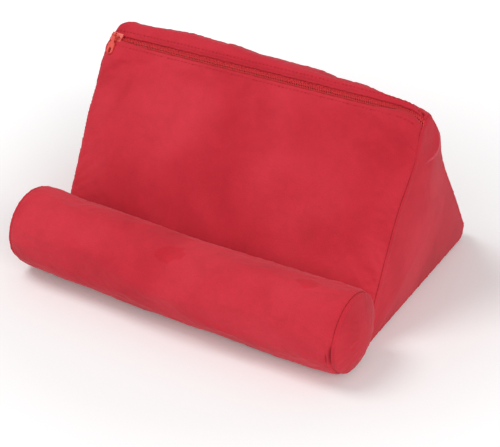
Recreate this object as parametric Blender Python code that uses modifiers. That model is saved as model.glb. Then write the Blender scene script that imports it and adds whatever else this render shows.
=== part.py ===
"""Tablet cushion stand: a sewn, foam filled wedge with a bolster roll along its front foot.

Units are metres, +Z is up. +X is the object's right and +Y its back. The origin lies on the
floor under the middle of the object. Sizes in the wedge's section are first measured from the
roll's axis, and one empty then moves the whole object over the origin.
"""
import math

import bmesh
import bpy
from mathutils import Euler, Matrix, Vector

# Cloth and seams
CLOTH = 0.0015
SEAM_GAP = 0.0003

# Bolster roll
ROLL_RADIUS = 0.0325
ROLL_OVERHANG = 0.002
ROLL_DOME = 0.0095
DOME_RIM = 0.001
ROLL_BOW = 0.004
ROLL_SIDES = 40
ROLL_STATIONS = 8
DOME_STEPS = 5
WELD = 0.00001
DOME_FILL_GAP = 0.0008

# Wedge
WEDGE_WIDTH = 0.277
WEDGE_DEPTH = 0.187
FACE_ANGLE = math.radians(59.1)
BROW_HEIGHT = 0.1435
RIDGE_WIDTH = 0.0165
FOOT_RADIUS = 0.008
BROW_RADIUS = 0.004
RIDGE_RADIUS = 0.006
HEEL_RADIUS = 0.011
FACE_CROWN = 0.004
BACK_CROWN = 0.004
SIDE_CROWN = 0.006
RIDGE_PUFF = 0.0075
PUFF_PEAK = 0.08
CROWN_POWER = 2.6
PUFF_POWER = 4.0
FOAM_CROWN_SHARE = 0.8
RIDGE_RISE = 0.005

# Zipper
ZIP_TILT = math.radians(35.0)
ZIP_SET_BACK = 0.005
ZIP_SLOT = 0.008
ZIP_END = 0.0023
TAPE = 0.0006
TAPE_WIDTH = 0.009
TAPE_PARTING = 0.0018
TOOTH_PITCH = 0.0024
TOOTH_OVERLAP = 0.0009
TOOTH_TAPER = 0.00015
TEETH_HEIGHT = 0.0018
SPINE_INNER = 0.0013
SPINE_OUTER = 0.0027

# Slider and pull
SLIDER_LENGTH = 0.010
SLIDER_WALL = 0.0006
PLATE = 0.0012
POST_LENGTH = 0.0022
POST_WIDTH = 0.0012
BAIL_WIRE = 0.00065
BAIL_SPAN = 0.006
BAIL_BEND = 0.0012
PIVOT_HEIGHT = 0.0054
JOIN_DEPTH = 0.0003
PULL_LENGTH = 0.016
PULL_THICKNESS = 0.0012
PULL_EYE_WALL = 0.0007
PULL_NECK = 0.0026
PULL_SHOULDER = 0.0058
PULL_GRIP_START = 0.0078
PULL_WIDTH = 0.0056
PULL_HOLE_WIDTH = 0.0022
PULL_HOLE_LENGTH = 0.0048
PULL_LIFT = math.radians(6.0)
PULL_CLEARANCE = 0.0003

# Samples along the sewn outline and round small curves
ARC_STEPS = 6
BROW_STEPS = 2
FOAM_ARC_STEPS = 4
EYE_STEPS = 16
TIP_STEPS = 10
SLOT_STEPS = 5
WIRE_STEPS = 2
FACE_STEPS = 8
BACK_STEPS = 10
COLUMNS = 12
SIDE_RINGS = (1.0, 0.8, 0.55, 0.28)
SHARP_ANGLE = math.radians(40)

# Sizes that follow from the ones above
HALF_WIDTH = WEDGE_WIDTH / 2
PANEL_END = HALF_WIDTH - CLOTH - SEAM_GAP
HALF_SIDE = math.pi / ROLL_SIDES
ROLL_AXIS_HEIGHT = ROLL_RADIUS * math.cos(HALF_SIDE)
ROLL_LENGTH = WEDGE_WIDTH + 2 * ROLL_OVERHANG
RIDGE_HEIGHT = BROW_HEIGHT + RIDGE_WIDTH * math.sin(ZIP_TILT)
FACE_SPREAD = BROW_HEIGHT / math.tan(FACE_ANGLE)
BACK_SPREAD = WEDGE_DEPTH - FACE_SPREAD - RIDGE_WIDTH * math.cos(ZIP_TILT)
BACK_ANGLE = math.atan2(RIDGE_HEIGHT, BACK_SPREAD)

# Colours
RED = (0.56, 0.030, 0.045, 1.0)
ORANGE_RED = (0.78, 0.075, 0.045, 1.0)
FOAM_WHITE = (0.84, 0.80, 0.68, 1.0)


def clear_scene():
    """Starts from an empty scene."""
    for obj in list(bpy.data.objects):
        bpy.data.objects.remove(obj, do_unlink=True)


def make_collection(name):
    """A collection linked to the scene."""
    collection = bpy.data.collections.new(name)
    bpy.context.scene.collection.children.link(collection)
    return collection


def make_material(name, colour, roughness, metallic=0.0):
    """A plain material of one colour."""
    material = bpy.data.materials.new(name)
    material.use_nodes = True
    shader = material.node_tree.nodes["Principled BSDF"]
    shader.inputs["Base Color"].default_value = colour
    shader.inputs["Roughness"].default_value = roughness
    shader.inputs["Metallic"].default_value = metallic
    material.diffuse_color = colour
    return material


def add_part(name, mesh, material, collection, parent, location=(0, 0, 0)):
    """A named object with its mesh and material, placed in its parent."""
    obj = bpy.data.objects.new(name, mesh)
    mesh.materials.append(material)
    collection.objects.link(obj)
    obj.parent = parent
    obj.location = location
    return obj


def add_empty(name, collection, parent=None, location=(0, 0, 0), tilt=0.0, lean=0.0):
    """A frame for other objects, tilted about X and then leaned about Y."""
    empty = bpy.data.objects.new(name, None)
    collection.objects.link(empty)
    empty.parent = parent
    empty.location = location
    empty.rotation_euler = (tilt, lean, 0)
    return empty


def finish_mesh(name, bm, smooth=True):
    """A mesh from bm, smooth apart from its sharp edges."""
    mesh = bpy.data.meshes.new(name)
    bm.to_mesh(mesh)
    bm.free()
    if smooth:
        mesh.shade_smooth()
        mesh.set_sharp_from_angle(angle=SHARP_ANGLE)
    return mesh


def solidify(obj, thickness):
    """Gives an open surface its thickness, on the side away from its normals."""
    modifier = obj.modifiers.new("thickness", "SOLIDIFY")
    modifier.thickness = thickness
    modifier.offset = -1
    modifier.use_even_offset = True


def evaluated_mesh(name, holder):
    """The mesh that an unlinked object makes with its modifiers; the object goes."""
    bpy.context.scene.collection.objects.link(holder)
    depsgraph = bpy.context.evaluated_depsgraph_get()
    mesh = bpy.data.meshes.new_from_object(holder.evaluated_get(depsgraph))
    bpy.data.objects.remove(holder, do_unlink=True)
    mesh.name = name
    return mesh


# Geometry of the wedge's section, in the plane across the roll

def heading(angle):
    """The direction at an angle from level."""
    return Vector((math.cos(angle), math.sin(angle)))


def outward(angle):
    """The outer side of an outline that is walked from foot to ridge to heel."""
    return heading(angle + math.pi / 2)


def crossing(point_a, angle_a, point_b, angle_b):
    """Where two straight lines of the section meet."""
    a, b = heading(angle_a), heading(angle_b)
    span = point_b - point_a
    reach = (span.x * b.y - span.y * b.x) / (a.x * b.y - a.y * b.x)
    return point_a + a * reach


def corner_arc(corner, angle_in, angle_out, radius, steps):
    """Samples (point, outward direction) of a rounded corner of the outline."""
    start = corner - heading(angle_in) * radius * math.tan((angle_in - angle_out) / 2)
    centre = start - outward(angle_in) * radius
    angles = [angle_in + (angle_out - angle_in) * i / steps for i in range(steps + 1)]
    return [(centre + outward(angle) * radius, outward(angle)) for angle in angles]


def straight_run(start, end, steps):
    """Samples strictly between two outline samples that share one direction."""
    return [(start[0].lerp(end[0], i / steps), start[1]) for i in range(1, steps)]


def section_corners(face_inset, back_inset, base_inset, zip_inset):
    """Foot, brow, ridge and heel corners of the section, each side drawn in by its inset."""
    contact = ROLL_RADIUS + SEAM_GAP
    foot_y = (contact - ROLL_AXIS_HEIGHT * math.cos(FACE_ANGLE)) / math.sin(FACE_ANGLE)
    foot = Vector((foot_y, 0))
    heel = Vector((foot_y + WEDGE_DEPTH, 0))
    brow = foot + heading(FACE_ANGLE) * BROW_HEIGHT / math.sin(FACE_ANGLE)
    face_point = foot - outward(FACE_ANGLE) * face_inset
    back_point = heel - outward(-BACK_ANGLE) * back_inset
    zip_point = brow - outward(ZIP_TILT) * zip_inset
    base_point = Vector((foot_y, base_inset))
    return (
        crossing(base_point, 0, face_point, FACE_ANGLE),
        crossing(face_point, FACE_ANGLE, zip_point, ZIP_TILT),
        crossing(zip_point, ZIP_TILT, back_point, -BACK_ANGLE),
        crossing(back_point, -BACK_ANGLE, base_point, 0),
    )


FOOT, BROW, RIDGE, HEEL = section_corners(0, 0, 0, 0)
ZIP_CENTRE = BROW + heading(ZIP_TILT) * ZIP_SET_BACK


def front_samples():
    """Outline of the front panel, from the underside of the foot up to the zipper's slot."""
    foot = corner_arc(FOOT, math.pi, FACE_ANGLE, FOOT_RADIUS, ARC_STEPS)
    brow = corner_arc(BROW, FACE_ANGLE, ZIP_TILT, BROW_RADIUS, BROW_STEPS)
    slot_edge = (ZIP_CENTRE - heading(ZIP_TILT) * ZIP_SLOT / 2, outward(ZIP_TILT))
    return foot, straight_run(foot[-1], brow[0], FACE_STEPS), brow + [slot_edge]


def back_samples():
    """Outline of the back panel, from the zipper's slot over the ridge to the heel's underside."""
    slot_edge = (ZIP_CENTRE + heading(ZIP_TILT) * ZIP_SLOT / 2, outward(ZIP_TILT))
    ridge = corner_arc(RIDGE, ZIP_TILT, -BACK_ANGLE, RIDGE_RADIUS, ARC_STEPS)
    heel = corner_arc(HEEL, -BACK_ANGLE, -math.pi, HEEL_RADIUS, ARC_STEPS)
    return [slot_edge] + ridge, straight_run(ridge[-1], heel[0], BACK_STEPS), heel


def shares(samples):
    """Each sample's share of the way along the outline, 0 to 1."""
    lengths = [0.0]
    for before, after in zip(samples, samples[1:]):
        lengths.append(lengths[-1] + (after[0] - before[0]).length)
    return [length / lengths[-1] for length in lengths]


def across(x, power):
    """How much of a crown is left at x: all of it mid-width and none at the side seams."""
    return 1 - abs(x / PANEL_END) ** power if abs(x) < PANEL_END else 0.0


def rise_at(x):
    """How much higher the brow lies at x than at its right end."""
    return RIDGE_RISE * (0.5 - x / WEDGE_WIDTH)


def raised(point):
    """A point of the wedge, lifted in step with its height where the ridge is higher."""
    x, y, z = point
    return Vector((x, y, z + rise_at(x) * z / BROW_HEIGHT))


def face_bulge(x, share):
    """The face's crown."""
    return FACE_CROWN * across(x, CROWN_POWER) * math.sin(math.pi * share)


def back_bulge(x, share):
    """The back's crown, and the puff that the cloth makes as it passes over the ridge."""
    peak = share / PUFF_PEAK
    crown = BACK_CROWN * across(x, CROWN_POWER) * math.sin(math.pi * share)
    return crown + RIDGE_PUFF * across(x, PUFF_POWER) * peak * math.exp(1 - peak)


def front_rows():
    """Samples of the front panel with the share of the face that each lies at."""
    foot, face, brow = front_samples()
    run = shares([foot[-1]] + face + [brow[0]])[1:-1]
    return foot + face + brow, [0.0] * len(foot) + run + [1.0] * len(brow)


def back_rows():
    """Samples of the back panel with the share of the back that each lies at."""
    ridge, back, heel = back_samples()
    run = shares(ridge + back + [heel[0]])[:-1]
    return ridge + back + heel, run + [1.0] * len(heel)


def bulged_point(x, sample, distance):
    """The point at x that lies a distance outside a sample of the outline."""
    point = sample[0] + sample[1] * distance
    return raised((x, point.x, point.y))


def panel_mesh(name, samples, sample_shares, bulge):
    """A grid laid across the width and along the outline, crowned by bulge."""
    rows = len(samples) - 1
    bm = bmesh.new()
    bmesh.ops.create_grid(bm, x_segments=COLUMNS, y_segments=rows, size=0.5)
    for vert in bm.verts:
        row = round((vert.co.y + 0.5) * rows)
        x = vert.co.x * 2 * PANEL_END
        vert.co = bulged_point(x, samples[row], bulge(x, sample_shares[row]))
    return finish_mesh(name, bm)


def ring_mesh(name, rings, close_first, close_last):
    """A skin over rings with the same number of points, closed where asked."""
    bm = bmesh.new()
    loops = [[bm.verts.new(point) for point in ring] for ring in rings]
    for low, high in zip(loops, loops[1:]):
        for i in range(len(low)):
            j = (i + 1) % len(low)
            bm.faces.new((low[i], low[j], high[j], high[i]))
    if close_first:
        bm.faces.new(reversed(loops[0]))
    if close_last:
        bm.faces.new(loops[-1])
    bmesh.ops.recalc_face_normals(bm, faces=bm.faces)
    return finish_mesh(name, bm)


def drawn_in(ring, middle, share, x):
    """A ring moved to x and shrunk towards the middle of the section."""
    points = [middle + (point - middle) * share for point in ring]
    return [raised((x, point.x, point.y)) for point in points]


# Wedge cover

def front_panel(material, collection, parent):
    """The sloping face, from under the foot over the brow to the zipper's slot."""
    samples, sample_shares = front_rows()
    mesh = panel_mesh("front_panel", samples, sample_shares, face_bulge)
    solidify(add_part("front_panel", mesh, material, collection, parent), CLOTH)


def back_panel(material, collection, parent):
    """The cloth from the zipper's slot over the ridge and down the back."""
    samples, sample_shares = back_rows()
    mesh = panel_mesh("back_panel", samples, sample_shares, back_bulge)
    solidify(add_part("back_panel", mesh, material, collection, parent), CLOTH)


def base_panel(material, collection, parent):
    """The flat cloth that the stand rests on, between the foot's seam and the heel's seam."""
    front_edge = front_rows()[0][0][0].x + SEAM_GAP
    back_edge = back_rows()[0][-1][0].x - SEAM_GAP
    bm = bmesh.new()
    bmesh.ops.create_cube(bm, size=1.0)
    size = Vector((2 * PANEL_END, back_edge - front_edge, CLOTH))
    bmesh.ops.scale(bm, vec=size, verts=bm.verts)
    mesh = finish_mesh("base_panel", bm, smooth=False)
    middle = ((front_edge + back_edge) / 2, CLOTH / 2)
    add_part("base_panel", mesh, material, collection, parent, (0, *middle))


def side_panel(name, side, material, collection, parent):
    """The gusset that closes one end of the wedge, crowned outwards."""
    outline = [sample[0] for sample in front_rows()[0] + back_rows()[0]]
    middle = sum(outline, Vector((0, 0))) / len(outline)
    rings = []
    for share in SIDE_RINGS:
        x = side * (HALF_WIDTH + SIDE_CROWN * (1 - share ** 2))
        rings.append(drawn_in(outline, middle, share, x))
    mesh = ring_mesh(name, rings, False, True)
    face = max(mesh.polygons, key=lambda polygon: len(polygon.vertices))
    if face.normal.x * side < 0:
        mesh.flip_normals()
    solidify(add_part(name, mesh, material, collection, parent), CLOTH)


def wedge_foam(material, collection, parent):
    """The foam block inside the wedge cover, cut away under the zipper's slider."""
    face_inset = CLOTH + SEAM_GAP + TAPE + SEAM_GAP
    snug = CLOTH + SEAM_GAP
    foot, brow, ridge, heel = section_corners(face_inset, snug, snug, slider_depth() + SEAM_GAP)
    foot = corner_arc(foot, math.pi, FACE_ANGLE, FOOT_RADIUS - snug, FOAM_ARC_STEPS)
    brow = corner_arc(brow, FACE_ANGLE, ZIP_TILT, BROW_RADIUS - snug, BROW_STEPS)
    ridge = corner_arc(ridge, ZIP_TILT, -BACK_ANGLE, RIDGE_RADIUS - snug, FOAM_ARC_STEPS)
    heel = corner_arc(heel, -BACK_ANGLE, -math.pi, HEEL_RADIUS - snug, FOAM_ARC_STEPS)
    face = straight_run(foot[-1], brow[0], FACE_STEPS)
    back = straight_run(ridge[-1], heel[0], FACE_STEPS)
    face_shares = shares([foot[-1]] + face + [brow[0]])[1:-1]
    back_shares = shares([ridge[-1]] + back + [heel[0]])[1:-1]
    samples = foot + face + brow + ridge + back + heel
    crowns = [0.0] * len(foot) + [FACE_CROWN * math.sin(math.pi * s) for s in face_shares]
    crowns += [0.0] * (len(brow) + len(ridge))
    crowns += [BACK_CROWN * math.sin(math.pi * s) for s in back_shares] + [0.0] * len(heel)
    outline = [sample[0] for sample in samples]
    middle = sum(outline, Vector((0, 0))) / len(outline)
    crown = FOAM_CROWN_SHARE * SIDE_CROWN
    caps = [(share, PANEL_END + crown * (1 - share ** 2)) for share in SIDE_RINGS]
    rings = [drawn_in(outline, middle, share, -x) for share, x in reversed(caps)]
    for i in range(1, COLUMNS // 2):
        x = PANEL_END * (4 * i / COLUMNS - 1)
        part = FOAM_CROWN_SHARE * across(x, CROWN_POWER)
        rings.append([bulged_point(x, s, part * c) for s, c in zip(samples, crowns)])
    rings += [drawn_in(outline, middle, share, x) for share, x in caps]
    mesh = ring_mesh("wedge_foam", rings, True, True)
    add_part("wedge_foam", mesh, material, collection, parent)


# Bolster roll

def bow_at(x):
    """How far the roll bows forward at x; its ends stay where they are."""
    return ROLL_BOW * (1 - (2 * x / ROLL_LENGTH) ** 2)


def dome_profile(start, radius, height):
    """Radius and place of a domed end, from its straight rim to its middle."""
    angles = [math.pi / 2 * i / DOME_STEPS for i in range(DOME_STEPS + 1)]
    spring, rise = start + DOME_RIM, height - DOME_RIM
    return [(radius, start)] + [(radius * math.cos(a), spring + rise * math.sin(a)) for a in angles]


def turned_mesh(name, profile):
    """The mesh of a profile of (radius, place) pairs, turned round the roll's axis."""
    bm = bmesh.new()
    start = heading(HALF_SIDE)
    verts = [bm.verts.new((start.x * r, start.y * r, z)) for r, z in profile]
    for a, b in zip(verts, verts[1:]):
        bm.edges.new((a, b))
    holder = bpy.data.objects.new(name + "_profile", finish_mesh(name + "_profile", bm))
    screw = holder.modifiers.new("turn", "SCREW")
    screw.steps = screw.render_steps = ROLL_SIDES
    screw.use_merge_vertices = True
    screw.merge_threshold = WELD
    screw.use_smooth_shade = True
    return evaluated_mesh(name, holder)


def turned_part(name, profile, material, collection, parent):
    """A turned piece of the roll, laid along X and bowed forward."""
    mesh = turned_mesh(name, profile)
    for vert in mesh.vertices:
        vert.co.y -= bow_at(vert.co.z)
    obj = add_part(name, mesh, material, collection, parent, (0, 0, ROLL_AXIS_HEIGHT))
    obj.rotation_euler = (0, math.pi / 2, 0)
    return obj


def sleeve_profile(inset):
    """The sleeve's line along the roll, from its right end to its left end."""
    places = [ROLL_LENGTH * (0.5 - i / ROLL_STATIONS) for i in range(ROLL_STATIONS + 1)]
    return [(ROLL_RADIUS - inset, z) for z in places]


def roll_sleeve(material, collection, parent):
    """The tube of cloth round the roll."""
    sleeve = turned_part("roll_sleeve", sleeve_profile(0), material, collection, parent)
    solidify(sleeve, CLOTH)


def roll_end(name, side, material, collection, parent):
    """A round disc of cloth, sewn to the sleeve's end and domed by the filling."""
    rim = ROLL_LENGTH / 2 + SEAM_GAP
    dome = dome_profile(rim, ROLL_RADIUS, ROLL_DOME - SEAM_GAP)
    profile = [(r, side * z) for r, z in dome]
    if side > 0:
        profile.reverse()
    solidify(turned_part(name, profile, material, collection, parent), CLOTH)


def roll_filling(material, collection, parent):
    """The filling, one turned solid with domed ends."""
    snug = CLOTH + SEAM_GAP
    dome = dome_profile(ROLL_LENGTH / 2, ROLL_RADIUS - snug, ROLL_DOME - snug - DOME_FILL_GAP)
    left = [(r, -z) for r, z in dome]
    profile = dome[::-1] + sleeve_profile(snug)[1:-1] + left
    turned_part("roll_filling", profile, material, collection, parent)


# Zipper, in a frame whose X runs along the ridge, Y across the slot and Z out of it

def tape_top():
    """Height of the tapes' outer face, just under the cover."""
    return -(CLOTH + SEAM_GAP)


def slider_depth():
    """How far below the cover's surface the slider's lower plate reaches."""
    return -tape_top() + TAPE + SEAM_GAP + PLATE


def slider_place():
    """The slider's middle, at the closed end beside the left side panel."""
    return -(PANEL_END - ZIP_END - SLIDER_LENGTH / 2)


def box_mesh(name, low, high):
    """A box between two corners."""
    bm = bmesh.new()
    bmesh.ops.create_cube(bm, size=1.0)
    low, high = Vector(low), Vector(high)
    bmesh.ops.scale(bm, vec=high - low, verts=bm.verts)
    bmesh.ops.translate(bm, vec=(low + high) / 2, verts=bm.verts)
    return finish_mesh(name, bm, smooth=False)


def outline_mesh(name, outlines, thickness):
    """A flat outline, with any holes, filled and given its thickness about its own plane."""
    curve = bpy.data.curves.new(name, "CURVE")
    curve.dimensions = "2D"
    curve.fill_mode = "BOTH"
    curve.extrude = thickness / 2
    for points in outlines:
        spline = curve.splines.new("POLY")
        spline.points.add(len(points) - 1)
        for point, place in zip(spline.points, points):
            point.co = (*place, 0, 1)
        spline.use_cyclic_u = True
    return curve_to_mesh(name, curve)


def curve_to_mesh(name, curve):
    """The solid of a curve object, with its caps welded on."""
    mesh = evaluated_mesh(name, bpy.data.objects.new(name + "_curve", curve))
    bm = bmesh.new()
    bm.from_mesh(mesh)
    bmesh.ops.remove_doubles(bm, verts=bm.verts, dist=WELD)
    bmesh.ops.recalc_face_normals(bm, faces=bm.faces)
    bm.to_mesh(mesh)
    bm.free()
    return mesh


def front_tape(material, collection, parent):
    """The tape sewn under the front panel's top edge, bent over the brow with it."""
    brow = corner_arc(BROW, FACE_ANGLE, ZIP_TILT, BROW_RADIUS, BROW_STEPS)
    inner_edge = (ZIP_CENTRE - heading(ZIP_TILT) * TAPE_PARTING / 2, outward(ZIP_TILT))
    hidden = TAPE_WIDTH - (inner_edge[0] - brow[-1][0]).length
    outer_edge = (brow[0][0] - heading(FACE_ANGLE) * hidden, brow[0][1])
    samples = [outer_edge] + brow + [inner_edge]
    depth = [tape_top()] * len(samples)
    mesh = panel_mesh("zip_tape_front", samples, depth, lambda x, share: share)
    solidify(add_part("zip_tape_front", mesh, material, collection, parent), TAPE)


def back_tape(material, collection, frame):
    """The flat tape sewn under the back panel's edge."""
    low = (-PANEL_END, TAPE_PARTING / 2, tape_top() - TAPE)
    high = (PANEL_END, TAPE_PARTING / 2 + TAPE_WIDTH / 2, tape_top())
    mesh = box_mesh("zip_tape_back", low, high)
    add_part("zip_tape_back", mesh, material, collection, frame)


def teeth_row(name, side, material, collection, frame):
    """One row of teeth with its spine; the two rows mesh half a pitch apart."""
    start = slider_place() - SLIDER_LENGTH / 2 + POST_LENGTH + SEAM_GAP
    count = int((PANEL_END - start) / TOOTH_PITCH)
    quarter = TOOTH_PITCH / 4
    half_tooth = quarter - SEAM_GAP / 2
    shift = quarter if side > 0 else 3 * quarter
    points = [(PANEL_END, side * SPINE_INNER), (PANEL_END, side * SPINE_OUTER)]
    points += [(start, side * SPINE_OUTER), (start, side * SPINE_INNER)]
    for i in range(count):
        middle = start + shift + i * TOOTH_PITCH
        root, tip = half_tooth, half_tooth - TOOTH_TAPER
        points += [(middle - root, side * SPINE_INNER), (middle - tip, -side * TOOTH_OVERLAP)]
        points += [(middle + tip, -side * TOOTH_OVERLAP), (middle + root, side * SPINE_INNER)]
    mesh = outline_mesh(name, [points], TEETH_HEIGHT)
    rise = tape_top() + SEAM_GAP + TEETH_HEIGHT / 2
    add_part(name, mesh, material, collection, frame, (0, 0, rise))


def arch_mesh(name, foot_height):
    """The slider's wire bail, an arch over the plate along the zipper."""
    curve = bpy.data.curves.new(name, "CURVE")
    curve.dimensions = "3D"
    curve.bevel_depth = BAIL_WIRE
    curve.bevel_resolution = WIRE_STEPS
    curve.use_fill_caps = True
    half = BAIL_SPAN / 2
    points = [(-half, foot_height), (-half, PIVOT_HEIGHT - BAIL_BEND)]
    points += [(-half + BAIL_BEND, PIVOT_HEIGHT), (half - BAIL_BEND, PIVOT_HEIGHT)]
    points += [(half, PIVOT_HEIGHT - BAIL_BEND), (half, foot_height)]
    spline = curve.splines.new("POLY")
    spline.points.add(len(points) - 1)
    for point, place in zip(spline.points, points):
        point.co = (place[0], 0, place[1], 1)
    return curve_to_mesh(name, curve)


def join_cutter(obj, name, mesh, cutters):
    """Adds one more solid, drawn in the object's own frame, to obj with a Boolean union."""
    tool = bpy.data.objects.new(name, mesh)
    cutters.objects.link(tool)
    tool.parent = obj
    tool.hide_render = True
    tool.display_type = "WIRE"
    union = obj.modifiers.new(name, "BOOLEAN")
    union.operation = "UNION"
    union.solver = "EXACT"
    union.object = tool


def zip_slider(material, collection, cutters, frame):
    """Two plates joined by the post that parts the teeth, with flanges and a wire bail."""
    half = SLIDER_LENGTH / 2
    reach = SPINE_OUTER + SEAM_GAP + SLIDER_WALL
    plate_low = tape_top() + SEAM_GAP + TEETH_HEIGHT + SEAM_GAP
    plate_high = plate_low + PLATE
    lower_high = tape_top() - TAPE - SEAM_GAP
    mesh = box_mesh("zip_slider", (-half, -reach, plate_low), (half, reach, plate_high))
    slider = add_part("zip_slider", mesh, material, collection, frame, (slider_place(), 0, 0))
    lower = box_mesh("slider_lower_plate", (-half, -reach, -slider_depth()),
                     (half, reach, lower_high))
    post = box_mesh("slider_post", (-half + JOIN_DEPTH, -POST_WIDTH / 2, lower_high - JOIN_DEPTH),
                    (-half + POST_LENGTH, POST_WIDTH / 2, plate_low + JOIN_DEPTH))
    join_cutter(slider, "slider_post", post, cutters)
    join_cutter(slider, "slider_lower_plate", lower, cutters)
    for name, side in (("slider_flange_front", -1), ("slider_flange_back", 1)):
        edges = sorted((side * reach, side * (reach - SLIDER_WALL)))
        flange = box_mesh(name, (-half, edges[0], -CLOTH / 2),
                          (half, edges[1], plate_low + JOIN_DEPTH))
        join_cutter(slider, name, flange, cutters)
    bail = arch_mesh("slider_bail", plate_high - JOIN_DEPTH)
    join_cutter(slider, "slider_bail", bail, cutters)


def ring_points(centre, radius, start, end, steps):
    """Points of an arc whose centre lies on the X axis."""
    angles = [start + (end - start) * i / steps for i in range(steps + 1)]
    return [(centre + radius * math.cos(a), radius * math.sin(a)) for a in angles]


def pull_plate():
    """The pull's flat tab, with its grip and the oblong hole, from the eye's wall down."""
    tip_radius = PULL_WIDTH / 2
    tip_centre = PULL_LENGTH - tip_radius
    top = BAIL_WIRE + PULL_CLEARANCE + PULL_EYE_WALL / 2
    outline = [(top, PULL_NECK / 2), (top, -PULL_NECK / 2), (PULL_SHOULDER, -PULL_NECK / 2)]
    outline.append((PULL_GRIP_START, -tip_radius))
    outline += ring_points(tip_centre, tip_radius, -math.pi / 2, math.pi / 2, TIP_STEPS)
    outline += [(PULL_GRIP_START, tip_radius), (PULL_SHOULDER, PULL_NECK / 2)]
    half_slot = (PULL_HOLE_LENGTH - PULL_HOLE_WIDTH) / 2
    radius = PULL_HOLE_WIDTH / 2
    slot = ring_points(tip_centre + half_slot, radius, -math.pi / 2, math.pi / 2, SLOT_STEPS)
    slot += ring_points(tip_centre - half_slot, radius, math.pi / 2, 3 * math.pi / 2, SLOT_STEPS)
    return outline_mesh("zip_pull", [outline, slot], PULL_THICKNESS)


def pull_eye():
    """The short tube at the pull's top that turns on the bail's wire."""
    hole = BAIL_WIRE + PULL_CLEARANCE
    whole_turn = 2 * math.pi * (1 - 1 / EYE_STEPS)
    rings = [ring_points(0, r, 0, whole_turn, EYE_STEPS - 1) for r in (hole + PULL_EYE_WALL, hole)]
    mesh = outline_mesh("pull_eye", rings, PULL_NECK)
    mesh.transform(Matrix.Rotation(math.pi / 2, 4, "X"))
    return mesh


def zip_pull(material, collection, cutters, frame):
    """The tab that hangs from the bail down the front, turned about the bail's wire."""
    place = (slider_place(), 0, PIVOT_HEIGHT)
    pull = add_part("zip_pull", pull_plate(), material, collection, frame, place)
    down_slope = FACE_ANGLE + math.pi - ZIP_TILT - PULL_LIFT
    pull.rotation_euler = Euler((0, -down_slope, math.pi / 2))
    join_cutter(pull, "pull_eye", pull_eye(), cutters)


def middle_of_depth():
    """Half way between the roll's front and the heel's back, from the roll's axis."""
    samples, sample_shares = back_rows()
    rear = max(s[0].x + s[1].x * back_bulge(0, share)
               for s, share in zip(samples, sample_shares))
    return (rear - ROLL_RADIUS * math.cos(HALF_SIDE) - ROLL_BOW) / 2


def build():
    """Makes every piece of the stand."""
    clear_scene()
    stand = make_collection("tablet_cushion_stand")
    cutters = make_collection("cutters")
    suede = make_material("red_microsuede", RED, 0.9)
    foam = make_material("foam", FOAM_WHITE, 0.95)
    zip_cloth = make_material("zip_tape", RED, 0.8)
    nylon = make_material("zip_nylon", ORANGE_RED, 0.45)
    lacquer = make_material("lacquered_metal", ORANGE_RED, 0.35)
    section = add_empty("section", stand, location=(0, -middle_of_depth(), 0))
    lean = math.atan(RIDGE_RISE * ZIP_CENTRE.y / BROW_HEIGHT / WEDGE_WIDTH)
    zip_frame = add_empty("zip_frame", stand, section,
                          raised((0, ZIP_CENTRE.x, ZIP_CENTRE.y)), ZIP_TILT, lean)
    front_panel(suede, stand, section)
    back_panel(suede, stand, section)
    base_panel(suede, stand, section)
    side_panel("side_panel_left", -1, suede, stand, section)
    side_panel("side_panel_right", 1, suede, stand, section)
    wedge_foam(foam, stand, section)
    roll_sleeve(suede, stand, section)
    roll_end("roll_end_left", -1, suede, stand, section)
    roll_end("roll_end_right", 1, suede, stand, section)
    roll_filling(foam, stand, section)
    front_tape(zip_cloth, stand, section)
    back_tape(zip_cloth, stand, zip_frame)
    teeth_row("zip_teeth_front", -1, nylon, stand, zip_frame)
    teeth_row("zip_teeth_back", 1, nylon, stand, zip_frame)
    zip_slider(lacquer, stand, cutters, zip_frame)
    zip_pull(lacquer, stand, cutters, zip_frame)


build()
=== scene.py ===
"""Looks of the tablet cushion stand: soft sewn covers, seams, zipper, floor, light and camera.

Metres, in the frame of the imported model. The section of the wedge is drawn in its own plane,
measured from the roll's axis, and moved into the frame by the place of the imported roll. Each cut
piece of cloth is a grid of points. A coarse copy of the grid, pinned along its seams, is run
through Blender's cloth so that it swells and gathers, and its moves are carried to the fine grid,
which then gets its seams, stitch dimples and folds.
"""
import math

import bpy
import numpy as np
from mathutils import Matrix, Vector


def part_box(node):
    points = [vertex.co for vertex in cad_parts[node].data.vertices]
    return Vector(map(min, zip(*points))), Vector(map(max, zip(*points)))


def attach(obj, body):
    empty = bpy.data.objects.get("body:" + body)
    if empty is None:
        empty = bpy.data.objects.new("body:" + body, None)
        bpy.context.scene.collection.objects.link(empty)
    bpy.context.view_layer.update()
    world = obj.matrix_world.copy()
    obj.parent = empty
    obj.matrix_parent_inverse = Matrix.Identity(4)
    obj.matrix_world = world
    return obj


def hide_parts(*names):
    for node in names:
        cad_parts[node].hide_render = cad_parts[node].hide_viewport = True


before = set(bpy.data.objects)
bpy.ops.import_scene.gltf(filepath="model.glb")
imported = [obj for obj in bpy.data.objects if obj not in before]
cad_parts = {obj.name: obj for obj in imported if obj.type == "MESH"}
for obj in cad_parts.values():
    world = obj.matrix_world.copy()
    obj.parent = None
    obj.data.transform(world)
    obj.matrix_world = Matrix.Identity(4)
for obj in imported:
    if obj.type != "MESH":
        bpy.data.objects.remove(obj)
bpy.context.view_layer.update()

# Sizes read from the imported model
ROLL_LOW, ROLL_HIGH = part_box("roll_sleeve")
ROLL_RADIUS = (ROLL_HIGH.z - ROLL_LOW.z) / 2
ROLL_AXIS_Y = ROLL_HIGH.y - ROLL_RADIUS
ROLL_HALF = ROLL_HIGH.x
ROLL_BOW = ROLL_HIGH.y - ROLL_LOW.y - 2 * ROLL_RADIUS
ROLL_TAPER = 0.0014
TAPER_REACH = 0.012
SEAM_RADIUS = ROLL_RADIUS - ROLL_TAPER
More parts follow.
